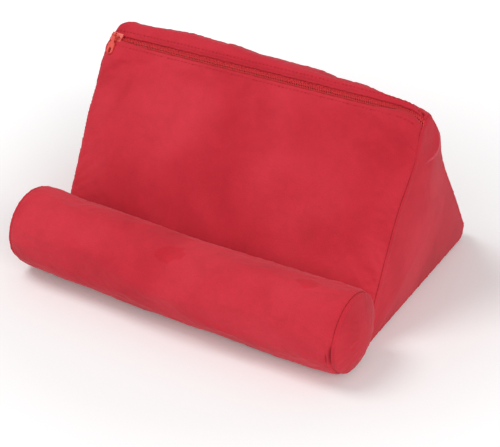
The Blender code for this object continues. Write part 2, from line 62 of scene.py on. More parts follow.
CLOTH = 0.0015
WEDGE_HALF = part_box("side_panel_right")[0].x + CLOTH
ZIP_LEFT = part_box("zip_teeth_front")[0].x
SLIDER_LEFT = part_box("zip_slider")[0].x

# Section of the wedge
FOOT_Y = 0.0188
WEDGE_DEPTH = 0.187
FACE_ANGLE = math.radians(59.1)
ZIP_TILT = math.radians(35.0)
BROW_HEIGHT = 0.1435
RIDGE_WIDTH = 0.0165
FOOT_RADIUS = 0.008
BROW_RADIUS = 0.004
RIDGE_RADIUS = 0.006
HEEL_RADIUS = 0.011
ZIP_SET_BACK = 0.005
ZIP_SLOT = 0.0076
FOLD_RADIUS = 0.0008
FOLD_DEPTH = 0.003
UNDER = 0.004
TOPSTITCH = 0.0021

# Crowns, puffs and the ridge, which rises between its pulled-down corners
FACE_CROWN = 0.0040
BACK_CROWN = 0.0045
SIDE_CROWN = 0.0060
RIDGE_PUFF = 0.0078
PUFF_PEAK = 0.085
CROWN_POWER = 2.6
PUFF_POWER = 4.0
FACE_SLACK = 0.0009
ROLL_SLACK = 0.0005
LEFT_RISE = 0.0048
RIGHT_RISE = 0.0076
LEFT_CORNER = 40
RIGHT_CORNER = 21
RIDGE_LIFT = 0.65
RIDGE_SINK = 1.15
DOME_HEIGHT = 0.0094
LEFT_LIFT = 0.0020
DISC_SAG = 0.30
DISC_PUFF = 0.0022

# The hollow fold at the zipper's right end, from beside the seam inward and back
FOLD_START = 0.0010
FOLD_IN = 0.0060
FOLD_BACK = 0.0034
FOLD_WIDTH = 0.0018
FOLD_HOLLOW = 0.0058

# Puffs at the ends of the ridge: height, then middle and width inward and back.
# Those of the face's upper corners: height, middle and width inward, then up the section.
RIGHT_PUFF = (0.0012, (0.010, 0.007), (0.0135, 0.0060))
LEFT_PUFF = (0.0022, (0.012, 0.010), (0.0120, 0.0070))
CORNER_PUFF = (0.0022, (0.013, 0.012), (0.136, 0.009))

# Bows of the seams at the right end (1) and the left (-1): size, height and width of each hump.
# The front and back seams stand out of their faces, and the side ones along the width.
FRONT_BOWS = {1: ((0.0026, 0.140, 0.010), (-0.0026, 0.114, 0.016), (0.0018, 0.063, 0.026)),
              -1: ((0.0022, 0.134, 0.012), (-0.0012, 0.112, 0.014), (0.0014, 0.070, 0.028))}
BACK_BOWS = {1: ((0.0026, 0.131, 0.015), (-0.0010, 0.085, 0.03)),
             -1: ((0.0018, 0.131, 0.015), (-0.0010, 0.085, 0.03))}
SIDE_BOWS = {1: ((0.0014, 0.128, 0.016), (-0.0006, 0.09, 0.02)),
             -1: ((0.0026, 0.103, 0.022), (0.0012, 0.1455, 0.0035))}

# The crease of the right side panel, as places in the section, and its form across
CREASE = np.array(((0.1330, 0.1400), (0.1300, 0.1325), (0.1286, 0.1250), (0.1272, 0.1200),
                   (0.1235, 0.1176), (0.1180, 0.1168), (0.1115, 0.1168), (0.1050, 0.1160),
                   (0.0985, 0.1130)))
CREASE_CREST = 0.0024
CREASE_ABOVE = 0.0080
CREASE_BELOW = 0.0130
CREASE_ROUND = 0.0006
CREASE_DISH = 0.0014

# The roll's waist: depth, then middle and width along the roll and round it
WAIST = (0.0016, (-0.062, 0.026), (math.radians(235), 0.9))

# Tucks beside the roll's right end: middle and width from the end, then the same round the roll
TUCK_ANGLE = math.radians(182)
TUCKS = (((0.0016, 0.0012), (0.0005, 0.0085)), ((0.0046, 0.0006), (0.0025, 0.0050)),
         ((0.0034, 0.0012), (0.0005, 0.0095)))
TUCK_DEPTH = 0.0026
SMALL_TUCK_DEPTH = 0.0013
TUCK_LIP = 0.0010

# The coils and tapes of the zipper
COIL_PITCH = 0.0015
COIL_WIRE = 0.00032
COIL_SIDES = 5
COIL_OFFSET = 0.00095
COIL_HALF_WIDTH = 0.00115
COIL_HALF_HEIGHT = 0.00055
COIL_STITCHES = 0.0027
COIL_STITCH_SINK = 0.0006
ZIP_SINK = 0.0009
TAPE_WIDTH = 0.0062
TAPES_MEET = 0.0001
TAPES_PART = 0.0006
TAPE_DROP = 0.0007
TAPE_ARCH = 0.0005
TAPE_FOLD_DROP = 0.0030

# Seams and stitches
SEAM_ROUND = 0.0022
SEAM_TUCK = 0.0006
SEAM_PARTING = 0.00012
ALLOWANCE = 0.0020
PUCKER_REACH = 0.0060
PUCKER_DEPTH = 0.00045
STITCH_PITCH = 0.0032
STITCH_LENGTH = 0.0021
STITCH_DIMPLE = 0.00042
DIMPLE_PLACE = 0.0016
DIMPLE_WIDTH = 0.0009
THREAD = 0.00026
THREAD_LIFT = 0.9
THREAD_DIP = 2.2
THREAD_SIDES = 6
THREAD_WIDTHS = np.array((0.45, 0.9, 1.0, 0.9, 0.45))
SEAM_STEP = 0.0008
ROUND_STEPS = 8
GRAIN = 0.0022
BACK_GRAIN = 0.0013
GUSSET_RINGS = 72
ROLL_ANGLES = np.linspace(0, 2 * math.pi, 280, endpoint=False)
ROLL_GATHERS = (0.0005, 0.009)
SLOT_GATHERS = (0.0004, 0.011, 0.010)

# Cloth simulation
COARSE = 0.0034
COARSE_GUSSET_RINGS = 15
COARSE_DISC_RINGS = 10
COARSE_DISC_SIDES = 54
FRAMES = 20
PRESSURE = 3.0
GROWTH = 0.003
SEAM_GROWTH = 0.024
SEAM_REACH = 0.013
MOVE_CAP = 0.0030
ROLL_MOVE_CAP = 0.0012
GUSSET_MOVE_CAP = 0.0008
FLOOR_GAP = 0.0002
CLOTH_SETTINGS = {
    "quality": 6, "mass": 0.05, "tension_stiffness": 25, "compression_stiffness": 25,
    "shear_stiffness": 8, "bending_stiffness": 0.06, "use_pressure": True,
    "uniform_pressure_force": PRESSURE, "shrink_min": -GROWTH, "shrink_max": -SEAM_GROWTH,
    "vertex_group_shrink": "loose", "vertex_group_mass": "pins"}

# Brush marks on the roll: middle and half sizes
BRUSH_MARKS = (((0.0, -0.0968, 0.0624), (0.011, 0.009, 0.009)),
               ((0.106, -0.0824, 0.0648), (0.010, 0.006, 0.008)))

# Camera, solved from the outline in the photo
CAMERA_PLACE = (0.52771, -0.84198, 0.67192)
CAMERA_AZIMUTH = math.radians(31.696)
CAMERA_ELEVATION = math.radians(32.708)
CAMERA_ROLL = math.radians(-1.074)
FOCAL_PIXELS = 1513.3
IMAGE_WIDTH = 500
SENSOR = 36.0

# Stage: the floor's own light by the distance from the stand, in shares of its reach
FLOOR_REACH = 2.0
FLOOR_LIFT = ((0.10, 0.10), (0.22, 0.38), (0.80, 0.62))
WORLD_LIGHT = 0.47
KEY_POWER = 13
FILL_POWER = 12


# Outlines in the section's plane

def heading(angle):
    return np.array((math.cos(angle), math.sin(angle)))


def outward(angle):
    return heading(angle + math.pi / 2)


def unit(vectors):
    return vectors / np.linalg.norm(vectors, axis=-1, keepdims=True)


def read_along(values, lengths, places):
    """Rows of values, given at lengths along a line, read at other places along it."""
    return np.stack([np.interp(places, lengths, column) for column in values.T], axis=-1)


def lengths_along(line):
    """The length walked up to each point of a line."""
    steps = np.linalg.norm(np.diff(line, axis=0), axis=1)
    return np.concatenate(([0.0], np.cumsum(steps)))


class Track:
    """An outline walked through the section, which can be sampled at any length."""

    def __init__(self, start, angle, moves, step=0.0004):
        """Moves are ("run", length) for a straight and ("turn", angle, radius) for a corner."""
        points, normals = [np.array(start, float)], [outward(angle)]
        for move in moves:
            here = points[-1]
            if move[0] == "run":
                count = max(1, math.ceil(move[1] / step))
                points += [here + heading(angle) * move[1] * i / count for i in range(1, count + 1)]
                normals += [outward(angle)] * count
                continue
            target, radius = move[1:]
            centre = here - outward(angle) * radius
            count = max(6, math.ceil(abs(target - angle) * radius / step))
            for i in range(1, count + 1):
                between = angle + (target - angle) * i / count
                points.append(centre + outward(between) * radius)
                normals.append(outward(between))
            angle = target
        self.points, self.normals = np.array(points), np.array(normals)
        self.lengths = lengths_along(self.points)
        self.total = self.lengths[-1]

    def at(self, lengths):
        """Points and outward directions at the given lengths."""
        return (read_along(self.points, self.lengths, lengths),
                unit(read_along(self.normals, self.lengths, lengths)))


def reach(turn, radius):
    """How far a rounded corner starts before its sharp one."""
    return radius * math.tan(abs(turn) / 2)


FOOT = np.array((FOOT_Y, 0.0))
HEEL = FOOT + np.array((WEDGE_DEPTH, 0.0))
BROW = FOOT + heading(FACE_ANGLE) * BROW_HEIGHT / math.sin(FACE_ANGLE)
RIDGE = BROW + heading(ZIP_TILT) * RIDGE_WIDTH
BACK_ANGLE = math.atan2(RIDGE[1], HEEL[0] - RIDGE[0])
ZIP_CENTRE = BROW + heading(ZIP_TILT) * ZIP_SET_BACK
FOOT_REACH = reach(math.pi - FACE_ANGLE, FOOT_RADIUS)
BROW_REACH = reach(FACE_ANGLE - ZIP_TILT, BROW_RADIUS)
RIDGE_REACH = reach(ZIP_TILT + BACK_ANGLE, RIDGE_RADIUS)
HEEL_REACH = reach(math.pi - BACK_ANGLE, HEEL_RADIUS)
FACE_RUN = np.linalg.norm(BROW - FOOT) - FOOT_REACH - BROW_REACH
BACK_RUN = np.linalg.norm(HEEL - RIDGE) - RIDGE_REACH - HEEL_REACH
BASE_RUN = WEDGE_DEPTH - FOOT_REACH - HEEL_REACH
TO_SLOT = ZIP_SET_BACK - BROW_REACH - ZIP_SLOT / 2
FROM_SLOT = np.linalg.norm(RIDGE - ZIP_CENTRE) - ZIP_SLOT / 2 - RIDGE_REACH
FACE_START = UNDER + FOOT_RADIUS * (math.pi - FACE_ANGLE)
BACK_START = FOLD_DEPTH + FOLD_RADIUS * math.pi
FACE_MOVES = [("turn", FACE_ANGLE, FOOT_RADIUS), ("run", FACE_RUN), ("turn", ZIP_TILT, BROW_RADIUS)]
BACK_MOVES = [("turn", -BACK_ANGLE, RIDGE_RADIUS), ("run", BACK_RUN), ("turn", -math.pi, HEEL_RADIUS)]


def front_track():
    """Underside of the foot, face, brow, and the edge folded under at the slot."""
    start = FOOT + np.array((FOOT_REACH + UNDER, 0.0))
    moves = [("run", UNDER), *FACE_MOVES, ("run", TO_SLOT),
             ("turn", ZIP_TILT - math.pi, FOLD_RADIUS), ("run", FOLD_DEPTH)]
    return Track(start, math.pi, moves)


def back_track():
    """Edge folded under at the slot, ridge, back, heel and underside."""
    slot = ZIP_CENTRE + heading(ZIP_TILT) * ZIP_SLOT / 2
    start = slot + heading(ZIP_TILT) * FOLD_DEPTH - outward(ZIP_TILT) * 2 * FOLD_RADIUS
    moves = [("run", FOLD_DEPTH), ("turn", ZIP_TILT, FOLD_RADIUS), ("run", FROM_SLOT),
             *BACK_MOVES, ("run", UNDER)]
    return Track(start, ZIP_TILT + math.pi, moves)


def whole_track():
    """The closed outline of an end of the wedge."""
    start = FOOT + np.array((FOOT_REACH, 0.0))
    across_slot = np.linalg.norm(RIDGE - BROW) - BROW_REACH - RIDGE_REACH
    moves = [*FACE_MOVES, ("run", across_slot), *BACK_MOVES, ("run", BASE_RUN)]
    return Track(start, math.pi, moves)


# How the wedge's form strays from its straight section

def ease(value, low, high):
    """Goes smoothly from 0 at low to 1 at high."""
    share = np.clip((value - low) / (high - low), 0, 1)
    return share * share * (3 - 2 * share)


def hump(value, middle, width):
    """A smooth hump, 1 at its middle."""
    return np.exp(-((value - middle) / width) ** 2)


def humps(value, table):
    """The sum of humps of (size, middle, width)."""
    return sum(size * hump(value, middle, width) for size, middle, width in table)


def near_seam(x):
    """1 beside a side seam and 0 well inside the panel."""
    return 1 - ease(WEDGE_HALF - np.abs(x), 0.006, 0.050)


def raised(x, y, z):
    """Heights of the wedge, lifted between its corners, behind the slot more at the left end."""
    right = 0.5 + x / (2 * WEDGE_HALF)
    behind = ease(y, ZIP_CENTRE[0] + ZIP_SLOT / 2, RIDGE[0])
    rise = LEFT_RISE * (1 - right) * (1 + RIDGE_LIFT * behind)
    rise = rise + RIGHT_RISE * right * (1 - RIDGE_SINK * right * behind)
    power = np.where(x < 0, LEFT_CORNER, RIGHT_CORNER)
    corners = np.clip(np.abs(x) / WEDGE_HALF, 0, 1) ** power
    return z + rise * (1 - corners) * z / BROW_HEIGHT


def wander(lengths, wave, seed):
    """A smooth uneven wave, between about -1 and 1."""
    draw = np.random.default_rng(seed)
    total = np.zeros_like(lengths)
    for share in (1.0, 1.63, 0.57, 2.41):
        phase = draw.uniform(0, 2 * math.pi)
        total += draw.uniform(0.5, 1.0) * np.sin(2 * math.pi * lengths * share / wave + phase)
    return total / 2.4


# Cloth near a seam

def edge_curve():
    """A right-angled seam: cloth lengths, distances, depths and distances from the sewn fold."""
    angles = np.concatenate((np.linspace(0, math.pi / 4, ROUND_STEPS + 1),
                             np.linspace(math.pi / 4, 3 * math.pi / 4, ROUND_STEPS + 2)[1:]))
    radii = np.where(angles[1:] <= math.pi / 4 + 1e-9, SEAM_ROUND, SEAM_TUCK)
    steps = np.diff(angles) * radii
    middle = (angles[1:] + angles[:-1]) / 2
    steps = np.append(steps, ALLOWANCE)
    middle = np.append(middle, 3 * math.pi / 4)
    a = np.concatenate(([0.0], np.cumsum(-np.cos(middle) * steps)))
    b = np.concatenate(([0.0], np.cumsum(np.sin(middle) * steps)))
    a += SEAM_PARTING + b[-1] - a[-1]
    length = np.concatenate(([0.0], np.cumsum(steps)))
    inner = np.maximum(a - a[ROUND_STEPS], 0)
    inner[ROUND_STEPS:] = 0
    return (length[-1] - length)[::-1], a[::-1], b[::-1], inner[::-1]


EDGE_LENGTH, EDGE_A, EDGE_B, EDGE_INNER = edge_curve()
EDGE_END = EDGE_LENGTH[-1]
FLAT_START = EDGE_A[-1]


def near_edge(e):
    """Distance from the corner line, depth and distance from the sewn fold, at cloth length e."""
    beyond = np.maximum(e - EDGE_END, 0)
    distance, depth, inner = (np.interp(e, EDGE_LENGTH, v) for v in (EDGE_A, EDGE_B, EDGE_INNER))
    return distance + beyond, depth, inner + beyond


def seam_to_seam(half, grain=GRAIN):
    """Places across a panel, the same with its seams taken as sharp, depths and cloth lengths."""
    e = edge_steps(half + EDGE_END - FLAT_START, grain)
    distance, depth, inner = near_edge(e)
    inner = inner * half / inner[-1]
    x, sharp = (np.concatenate((d - half, (half - d)[::-1][1:])) for d in (distance, inner))
    return x, sharp, np.concatenate((depth, depth[::-1][1:])), np.concatenate((e, e[::-1][1:]))


def edge_steps(half, grain=GRAIN):
    """Cloth lengths from a seam to the middle of a panel, close together near the seam."""
    steps = [0.0] + list(np.linspace(ALLOWANCE, EDGE_END, ROUND_STEPS + 1))
    gap = 0.0005
    while steps[-1] < half - grain:
        gap = min(gap * 1.2, grain)
        steps.append(steps[-1] + gap)
    scale = (half - EDGE_END) / (steps[-1] - EDGE_END)
    return np.array([s if s <= EDGE_END else EDGE_END + (s - EDGE_END) * scale for s in steps])


def stitch_dimples(along):
    """Depths of the dimples that a row of stitches pulls into the cloth."""
    return STITCH_DIMPLE * (0.5 + 0.5 * np.cos(2 * math.pi * along / STITCH_PITCH))


def seam_relief(along, e, seed, depth=PUCKER_DEPTH, wave=0.0075):
    """Gathers that run in from a seam, and a dimple at each stitch."""
    gate = 0.55 + 0.45 * wander(along, 0.05, seed + 50)
    fade = np.exp(-np.maximum(e - EDGE_END * 0.6, 0) / PUCKER_REACH)
    gathers = depth * gate * wander(along, wave, seed) * fade
    dimples = stitch_dimples(along) * hump(e, ALLOWANCE + DIMPLE_PLACE, DIMPLE_WIDTH)
    return (gathers - dimples) * ease(e, ALLOWANCE + 0.0002, ALLOWANCE + 0.0012)


def crowned(x, power):
    """1 in the middle of the wedge's width and 0 at its side seams."""
    return 1 - np.clip(np.abs(x) / WEDGE_HALF, 0, 1) ** power


# Meshes

def lattice(points, wrap_rows=False, wrap_columns=False, cap=False):
    """Vertices and faces of a grid of points, joined round where asked, the last row capped."""
    rows, columns = points.shape[:2]
    index = np.arange(rows * columns).reshape(rows, columns)
    last = index[-1]
    if wrap_rows:
        index = np.vstack((index, index[:1]))
    if wrap_columns:
        index = np.hstack((index, index[:, :1]))
    quads = np.stack((index[:-1, :-1], index[:-1, 1:], index[1:, 1:], index[1:, :-1]), axis=-1)
    verts, faces = points.reshape(-1, 3), quads.reshape(-1, 4).tolist()
    if cap:
        verts = np.vstack((verts, points[-1].mean(axis=0)))
        middle = len(verts) - 1
        faces += [[a, b, middle] for a, b in zip(last, np.roll(last, -1))]
    return verts, faces


def add_object(name, data):
    obj = bpy.data.objects.new(name, data)
    bpy.context.scene.collection.objects.link(obj)
    return obj


def make_mesh(name, verts, faces):
    mesh = bpy.data.meshes.new(name)
    mesh.from_pydata(verts.tolist(), [], faces)
    mesh.shade_smooth()
    return add_object(name, mesh)


def above_floor(points):
    """The points, those below the floor raised onto it."""
    points[..., 2] = np.maximum(points[..., 2], FLOOR_GAP)
    return points


def place(x, section):
    """Points of the frame from x and points of the section."""
    x = np.broadcast_to(x, section.shape[:-1])
    return np.stack((x, section[..., 0] + ROLL_AXIS_Y, section[..., 1]), axis=-1)


def spread(grid, rows, columns, wrap_rows=False, wrap_columns=False):
    """Reads a coarse grid of moves at fractional rows and columns, smoothly."""
    rows, columns = np.broadcast_arrays(rows, columns)
    result = np.zeros(rows.shape + (3,))
    row_base, column_base = np.floor(rows).astype(int), np.floor(columns).astype(int)
    row_part, column_part = rows - row_base, columns - column_base
    for i, row_weight in enumerate(spline_weights(row_part)):
        row = row_base + i - 1
        row = row % grid.shape[0] if wrap_rows else np.clip(row, 0, grid.shape[0] - 1)
        for j, column_weight in enumerate(spline_weights(column_part)):
            column = column_base + j - 1
            if wrap_columns:
                column = column % grid.shape[1]
            else:
                column = np.clip(column, 0, grid.shape[1] - 1)
            result += (row_weight * column_weight)[..., None] * grid[row, column]
    return result


def spline_weights(t):
    """Weights of the four points round a place on a cubic spline through them."""
    return (-0.5 * t + t ** 2 - 0.5 * t ** 3, 1 - 2.5 * t ** 2 + 1.5 * t ** 3,
            0.5 * t + 2 * t ** 2 - 1.5 * t ** 3, -0.5 * t ** 2 + 0.5 * t ** 3)


# Cloth simulation of the coarse grids

class Patch:
    """A coarse grid of one cut piece of cloth, with its distance from the nearest seam."""

    def __init__(self, name, points, seam, pinned, wrap_rows=False, wrap_columns=False, cap=MOVE_CAP):
        self.name, self.points, self.seam, self.pinned, self.cap = name, points, seam, pinned, cap
        self.wraps = {"wrap_rows": wrap_rows, "wrap_columns": wrap_columns}
        self.moves = np.zeros_like(points)

    def start(self, seed):
        """Adds the patch with its pins, its loose cloth near the seams and its cloth modifier."""
        draw = np.random.default_rng(seed)
        verts, faces = lattice(self.points, **self.wraps)
        nudge = draw.normal(0, 0.00015, verts.shape) * ~self.pinned.reshape(-1, 1)
        self.obj = make_mesh(self.name, verts + nudge, faces)
        pins = self.obj.vertex_groups.new(name="pins")
        pins.add(np.nonzero(self.pinned.ravel())[0].tolist(), 1.0, "REPLACE")
        loose = self.obj.vertex_groups.new(name="loose")
        for index, weight in enumerate(np.exp(-self.seam.ravel() / SEAM_REACH)):
            loose.add([index], float(weight), "REPLACE")
        cloth = self.obj.modifiers.new("cloth", "CLOTH")
        for name, value in CLOTH_SETTINGS.items():
            setattr(cloth.settings, name, value)
        cloth.settings.effector_weights.gravity = 0
        cloth.collision_settings.use_collision = False
        cloth.point_cache.frame_start, cloth.point_cache.frame_end = 1, FRAMES

    def finish(self):
        """Keeps how far each point moved, capped, and removes the patch."""
        shaped = self.obj.evaluated_get(bpy.context.evaluated_depsgraph_get()).data
        co = np.empty(len(shaped.vertices) * 3)
        shaped.vertices.foreach_get("co", co)
        moves = co.reshape(self.points.shape) - self.points
        size = np.linalg.norm(moves, axis=-1, keepdims=True)
        moves *= self.cap * np.tanh(size / self.cap) / np.maximum(size, 1e-9)
        self.moves = moves * ~self.pinned[..., None]
        bpy.data.objects.remove(self.obj, do_unlink=True)

    def move_at(self, rows, columns):
        return spread(self.moves, rows, columns, **self.wraps)


def settle(patches):
    scene = bpy.context.scene
    for seed, patch in enumerate(patches):
        patch.start(seed)
    for number in range(1, FRAMES + 1):
        scene.frame_set(number)
    for patch in patches:
        patch.finish()
    scene.frame_set(1)


# Wedge cover

class WedgePanel:
    """A panel laid along an outline of the section and across the width."""

    def __init__(self, name, track, height, fixed_edge):
        self.track, self.height = track, height
        count_s = round(track.total / COARSE)
        count_x = round(2 * WEDGE_HALF / COARSE)
        self.s_step, self.x_step = track.total / count_s, 2 * WEDGE_HALF / count_x
        s = np.arange(count_s + 1) * self.s_step
        x = np.arange(count_x + 1) * self.x_step - WEDGE_HALF
        side = WEDGE_HALF - np.abs(x)
        seam = np.minimum(*np.broadcast_arrays(side[None, :], np.abs(s - fixed_edge)[:, None]))
        pinned = np.broadcast_to(side[None, :] < 1e-6, seam.shape).copy()
        pinned[0] = pinned[-1] = True
        pinned[np.abs(s - fixed_edge) < self.s_step * 1.6] = True
        self.patch = Patch(name, self.points(s, x, x, np.zeros_like(x)), seam, pinned)

    def points(self, s, x, sharp, depth, relief=0.0):
        """Places lengths along the outline and places across it in the frame."""
        section, normal = self.track.at(s)
        section, normal = section[:, None, :], normal[:, None, :]
        height = self.height(sharp[None, :], s[:, None], section[..., 1]) - depth[None, :] + relief
        point = section + normal * height[..., None]
        z = point[..., 1]
        shift = np.where(x < 0, -humps(z, SIDE_BOWS[-1]), humps(z, SIDE_BOWS[1]))
        moved = x[None, :] + shift * near_seam(x)[None, :]
        z = np.maximum(raised(sharp[None, :], point[..., 0], z), FLOOR_GAP)
        return place(moved, np.stack((point[..., 0], z), axis=-1))

    def fine(self, s, seed, free_edge, grain=GRAIN):
        """The panel's fine grid with the cloth's moves, its seams, dimples and gathers."""
        x, sharp, depth, e = seam_to_seam(WEDGE_HALF, grain)
        sewn = ease(np.abs(s - free_edge), 0.0005, 0.004)[:, None]
        relief = seam_relief(s[:, None], e[None, :], seed) * sewn
        relief = relief + slot_gathers(x[None, :], s[:, None], free_edge, seed)
        points = self.points(s, x, sharp, depth, relief)
        columns = (sharp[None, :] + WEDGE_HALF) / self.x_step
        points += self.patch.move_at(s[:, None] / self.s_step, columns)
        return above_floor(points)


def slot_gathers(x, s, edge, seed):
    """Small gathers and a stitched hollow where a panel is sewn to the zipper's tape."""
    away = np.abs(s - edge)
    depth, wave, fade = SLOT_GATHERS
    gathers = depth * wander(x, wave, seed + 20) * np.exp(-away / fade)
    return (gathers - stitch_dimples(x) * hump(away, TOPSTITCH, 0.0008)) * ease(away, 0, 0.001)


def bow_over(x, z, bows):
    """The seams' bows carried in over the panel beside them."""
    return np.where(x < 0, humps(z, bows[-1]), humps(z, bows[1])) * near_seam(x)


def face_height(x, s, z):
    """How far the face stands out of its straight section."""
    share = np.clip((s - FACE_START) / FACE_RUN, 0, 1)
    crown = FACE_CROWN * crowned(x, CROWN_POWER) * np.sin(math.pi * share)
    slack = FACE_SLACK * np.sin(x * 31 + 0.8) * np.sin(math.pi * share) * crowned(x, 4)
    height, (middle, width), upward = CORNER_PUFF
    corner = height * hump(np.abs(x), WEDGE_HALF - middle, width) * hump(z, *upward)
    corner = corner * ease(WEDGE_HALF - np.abs(x), 0, 0.006)
    return crown + slack + corner + bow_over(x, z, FRONT_BOWS)


def back_height(x, s, z):
    """The same for the ridge and the back."""
    run = FROM_SLOT + RIDGE_RADIUS * (ZIP_TILT + BACK_ANGLE) + BACK_RUN
    share = np.clip((s - BACK_START) / run, 0, 1)
    crown = BACK_CROWN * crowned(x, CROWN_POWER) * np.sin(math.pi * share)
    peak = share / PUFF_PEAK
    uneven = 1 + 0.12 * wander(x, 0.09, 31)
    puff = RIDGE_PUFF * crowned(x, PUFF_POWER) * uneven * peak * np.exp(1 - peak)
    return crown + puff + bow_over(x, z, BACK_BOWS) + end_fold(x, s)


def fold_share(x, s):
    """1 in the middle of the hollow fold at the zipper's right end."""
    along = s - BACK_START
    inside = WEDGE_HALF - x
    run = ((inside - FOLD_START) * FOLD_IN + along * FOLD_BACK) / (FOLD_IN ** 2 + FOLD_BACK ** 2)
    run = np.clip(run, 0, 1)
    away = np.hypot(inside - FOLD_START - run * FOLD_IN, along - run * FOLD_BACK)
    opening = 0.35 + 0.65 * ease(along, -0.0002, 0.0010)
    return hump(away, 0, FOLD_WIDTH) * opening * ease(inside, 0, 0.0012)


def end_fold(x, s):
    """The hollow fold, with the cloth puffed up beside it, and a puff at the left end."""
    along = s - BACK_START
    inside = WEDGE_HALF - x
    height, inward, back = RIGHT_PUFF
    right = height * (hump(inside, *inward) * hump(along, *back))
    height, (middle, width), back = LEFT_PUFF
    left = height * (hump(x, middle - WEDGE_HALF, width) * hump(along, *back))
    return right - FOLD_HOLLOW * fold_share(x, s) + left


FACE = WedgePanel("face_coarse", front_track(), face_height, front_track().total - FOLD_DEPTH)
BACK = WedgePanel("back_coarse", back_track(), back_height, BACK_START)
FACE_END = FACE.track.total - FOLD_DEPTH - FOLD_RADIUS * math.pi


def slot_steps(total, edge):
    """Places along a panel, closer together beside the zipper's slot."""
    places = [0.0]
    while places[-1] < total:
        near = math.exp(-abs(places[-1] - edge) / 0.012)
        places.append(places[-1] + SEAM_STEP * (1 - 0.5 * near))
    return np.array(places) * total / places[-1]


def cloth_piece(name, node, grids, material, painted_shade_and_highlight=None):
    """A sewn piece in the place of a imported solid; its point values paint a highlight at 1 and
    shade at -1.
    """
    verts, faces = grids
    piece = make_mesh(name, verts, faces)
    piece.data.materials.append(material)
    if painted_shade_and_highlight is not None:
        values = np.zeros(len(verts))
        values[:painted_shade_and_highlight.size] = painted_shade_and_highlight.ravel()
        piece.data.attributes.new("painted_shade_and_highlight", "FLOAT", "POINT").data.foreach_set("value", values)
    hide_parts(node)
    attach(piece, "stand")


def wedge_front(material):
    s = np.linspace(0, FACE.track.total, round(FACE.track.total / SEAM_STEP) + 1)
    points = FACE.fine(s, 3, FACE_END)
    cloth_piece("wedge_front", "front_panel", lattice(points[:, ::-1]), material)


def wedge_back(material):
    s = slot_steps(BACK.track.total, BACK_START)
    points = BACK.fine(s, 5, BACK_START, BACK_GRAIN)
    sharp = seam_to_seam(WEDGE_HALF, BACK_GRAIN)[1]
    # Painted shade in the hollow fold at the zipper's right end, -1 in its middle.
    painted_shade_and_highlight = -fold_share(sharp[None, :], s[:, None])
    cloth_piece("wedge_back", "back_panel", lattice(points[:, ::-1]), material, painted_shade_and_highlight[:, ::-1])


def wedge_base(material):
    """The flat cloth underneath, which the stand rests on."""
    x, _, depth, _ = seam_to_seam(WEDGE_HALF)
    y = np.linspace(FOOT[0] + FOOT_REACH + UNDER * 0.6, HEEL[0] - HEEL_REACH - UNDER * 0.6, 70)
    wave = FLOOR_GAP * (2 + wander(y[:, None], 0.03, 61) * wander(x[None, :], 0.05, 62))
    section = np.stack(np.broadcast_arrays(y[:, None], depth[None, :] + wave), axis=-1)
    grid = lattice(place(x[None, :], section))
    cloth_piece("wedge_base", "base_panel", grid, material)


# Side panels of the wedge

def smooth_line(points, count):
    """A smooth line through a few points."""
    grid = np.concatenate((points, np.zeros((len(points), 1))), axis=1)[None]
    at = np.linspace(0, len(points) - 1, count)
    return spread(grid, 0 * at, at)[:, :2]


def crease_place(y, z):
    """How far above the curved crease of the right side panel, and how strong it is there."""
    line = smooth_line(CREASE, 400)
    tangent = unit(np.gradient(line, axis=0))
    offset = np.stack((y, z), axis=-1)[..., None, :] - line
    distance = np.linalg.norm(offset, axis=-1)
    nearest = distance.argmin(axis=-1)
    chosen = np.take_along_axis(offset, nearest[..., None, None], axis=-2)[..., 0, :]
    side = tangent[nearest][..., 0] * chosen[..., 1] - tangent[nearest][..., 1] * chosen[..., 0]
    above = -np.sign(side) * distance.min(axis=-1)
    share = nearest / (len(line) - 1)
    return above, ease(share, 0.0, 0.25) * (1 - ease(share, 0.55, 1))


def crease_height(y, z):
    """A crest along the crease: the cloth is dished above it and falls away below."""
    above, strength = crease_place(y, z)
    away = np.hypot(above, CREASE_ROUND) - CREASE_ROUND
    crest = CREASE_CREST * np.exp(-away / np.where(above > 0, CREASE_ABOVE, CREASE_BELOW))
    return (crest - CREASE_DISH * hump(above, 0.012, 0.009)) * strength


def crease_painted_highlight(points):
    """1 along the crest of the crease, where a highlight is painted."""
    above, strength = crease_place(points[..., 1] - ROLL_AXIS_Y, points[..., 2])
    return hump(above, 0, 0.0009) * strength


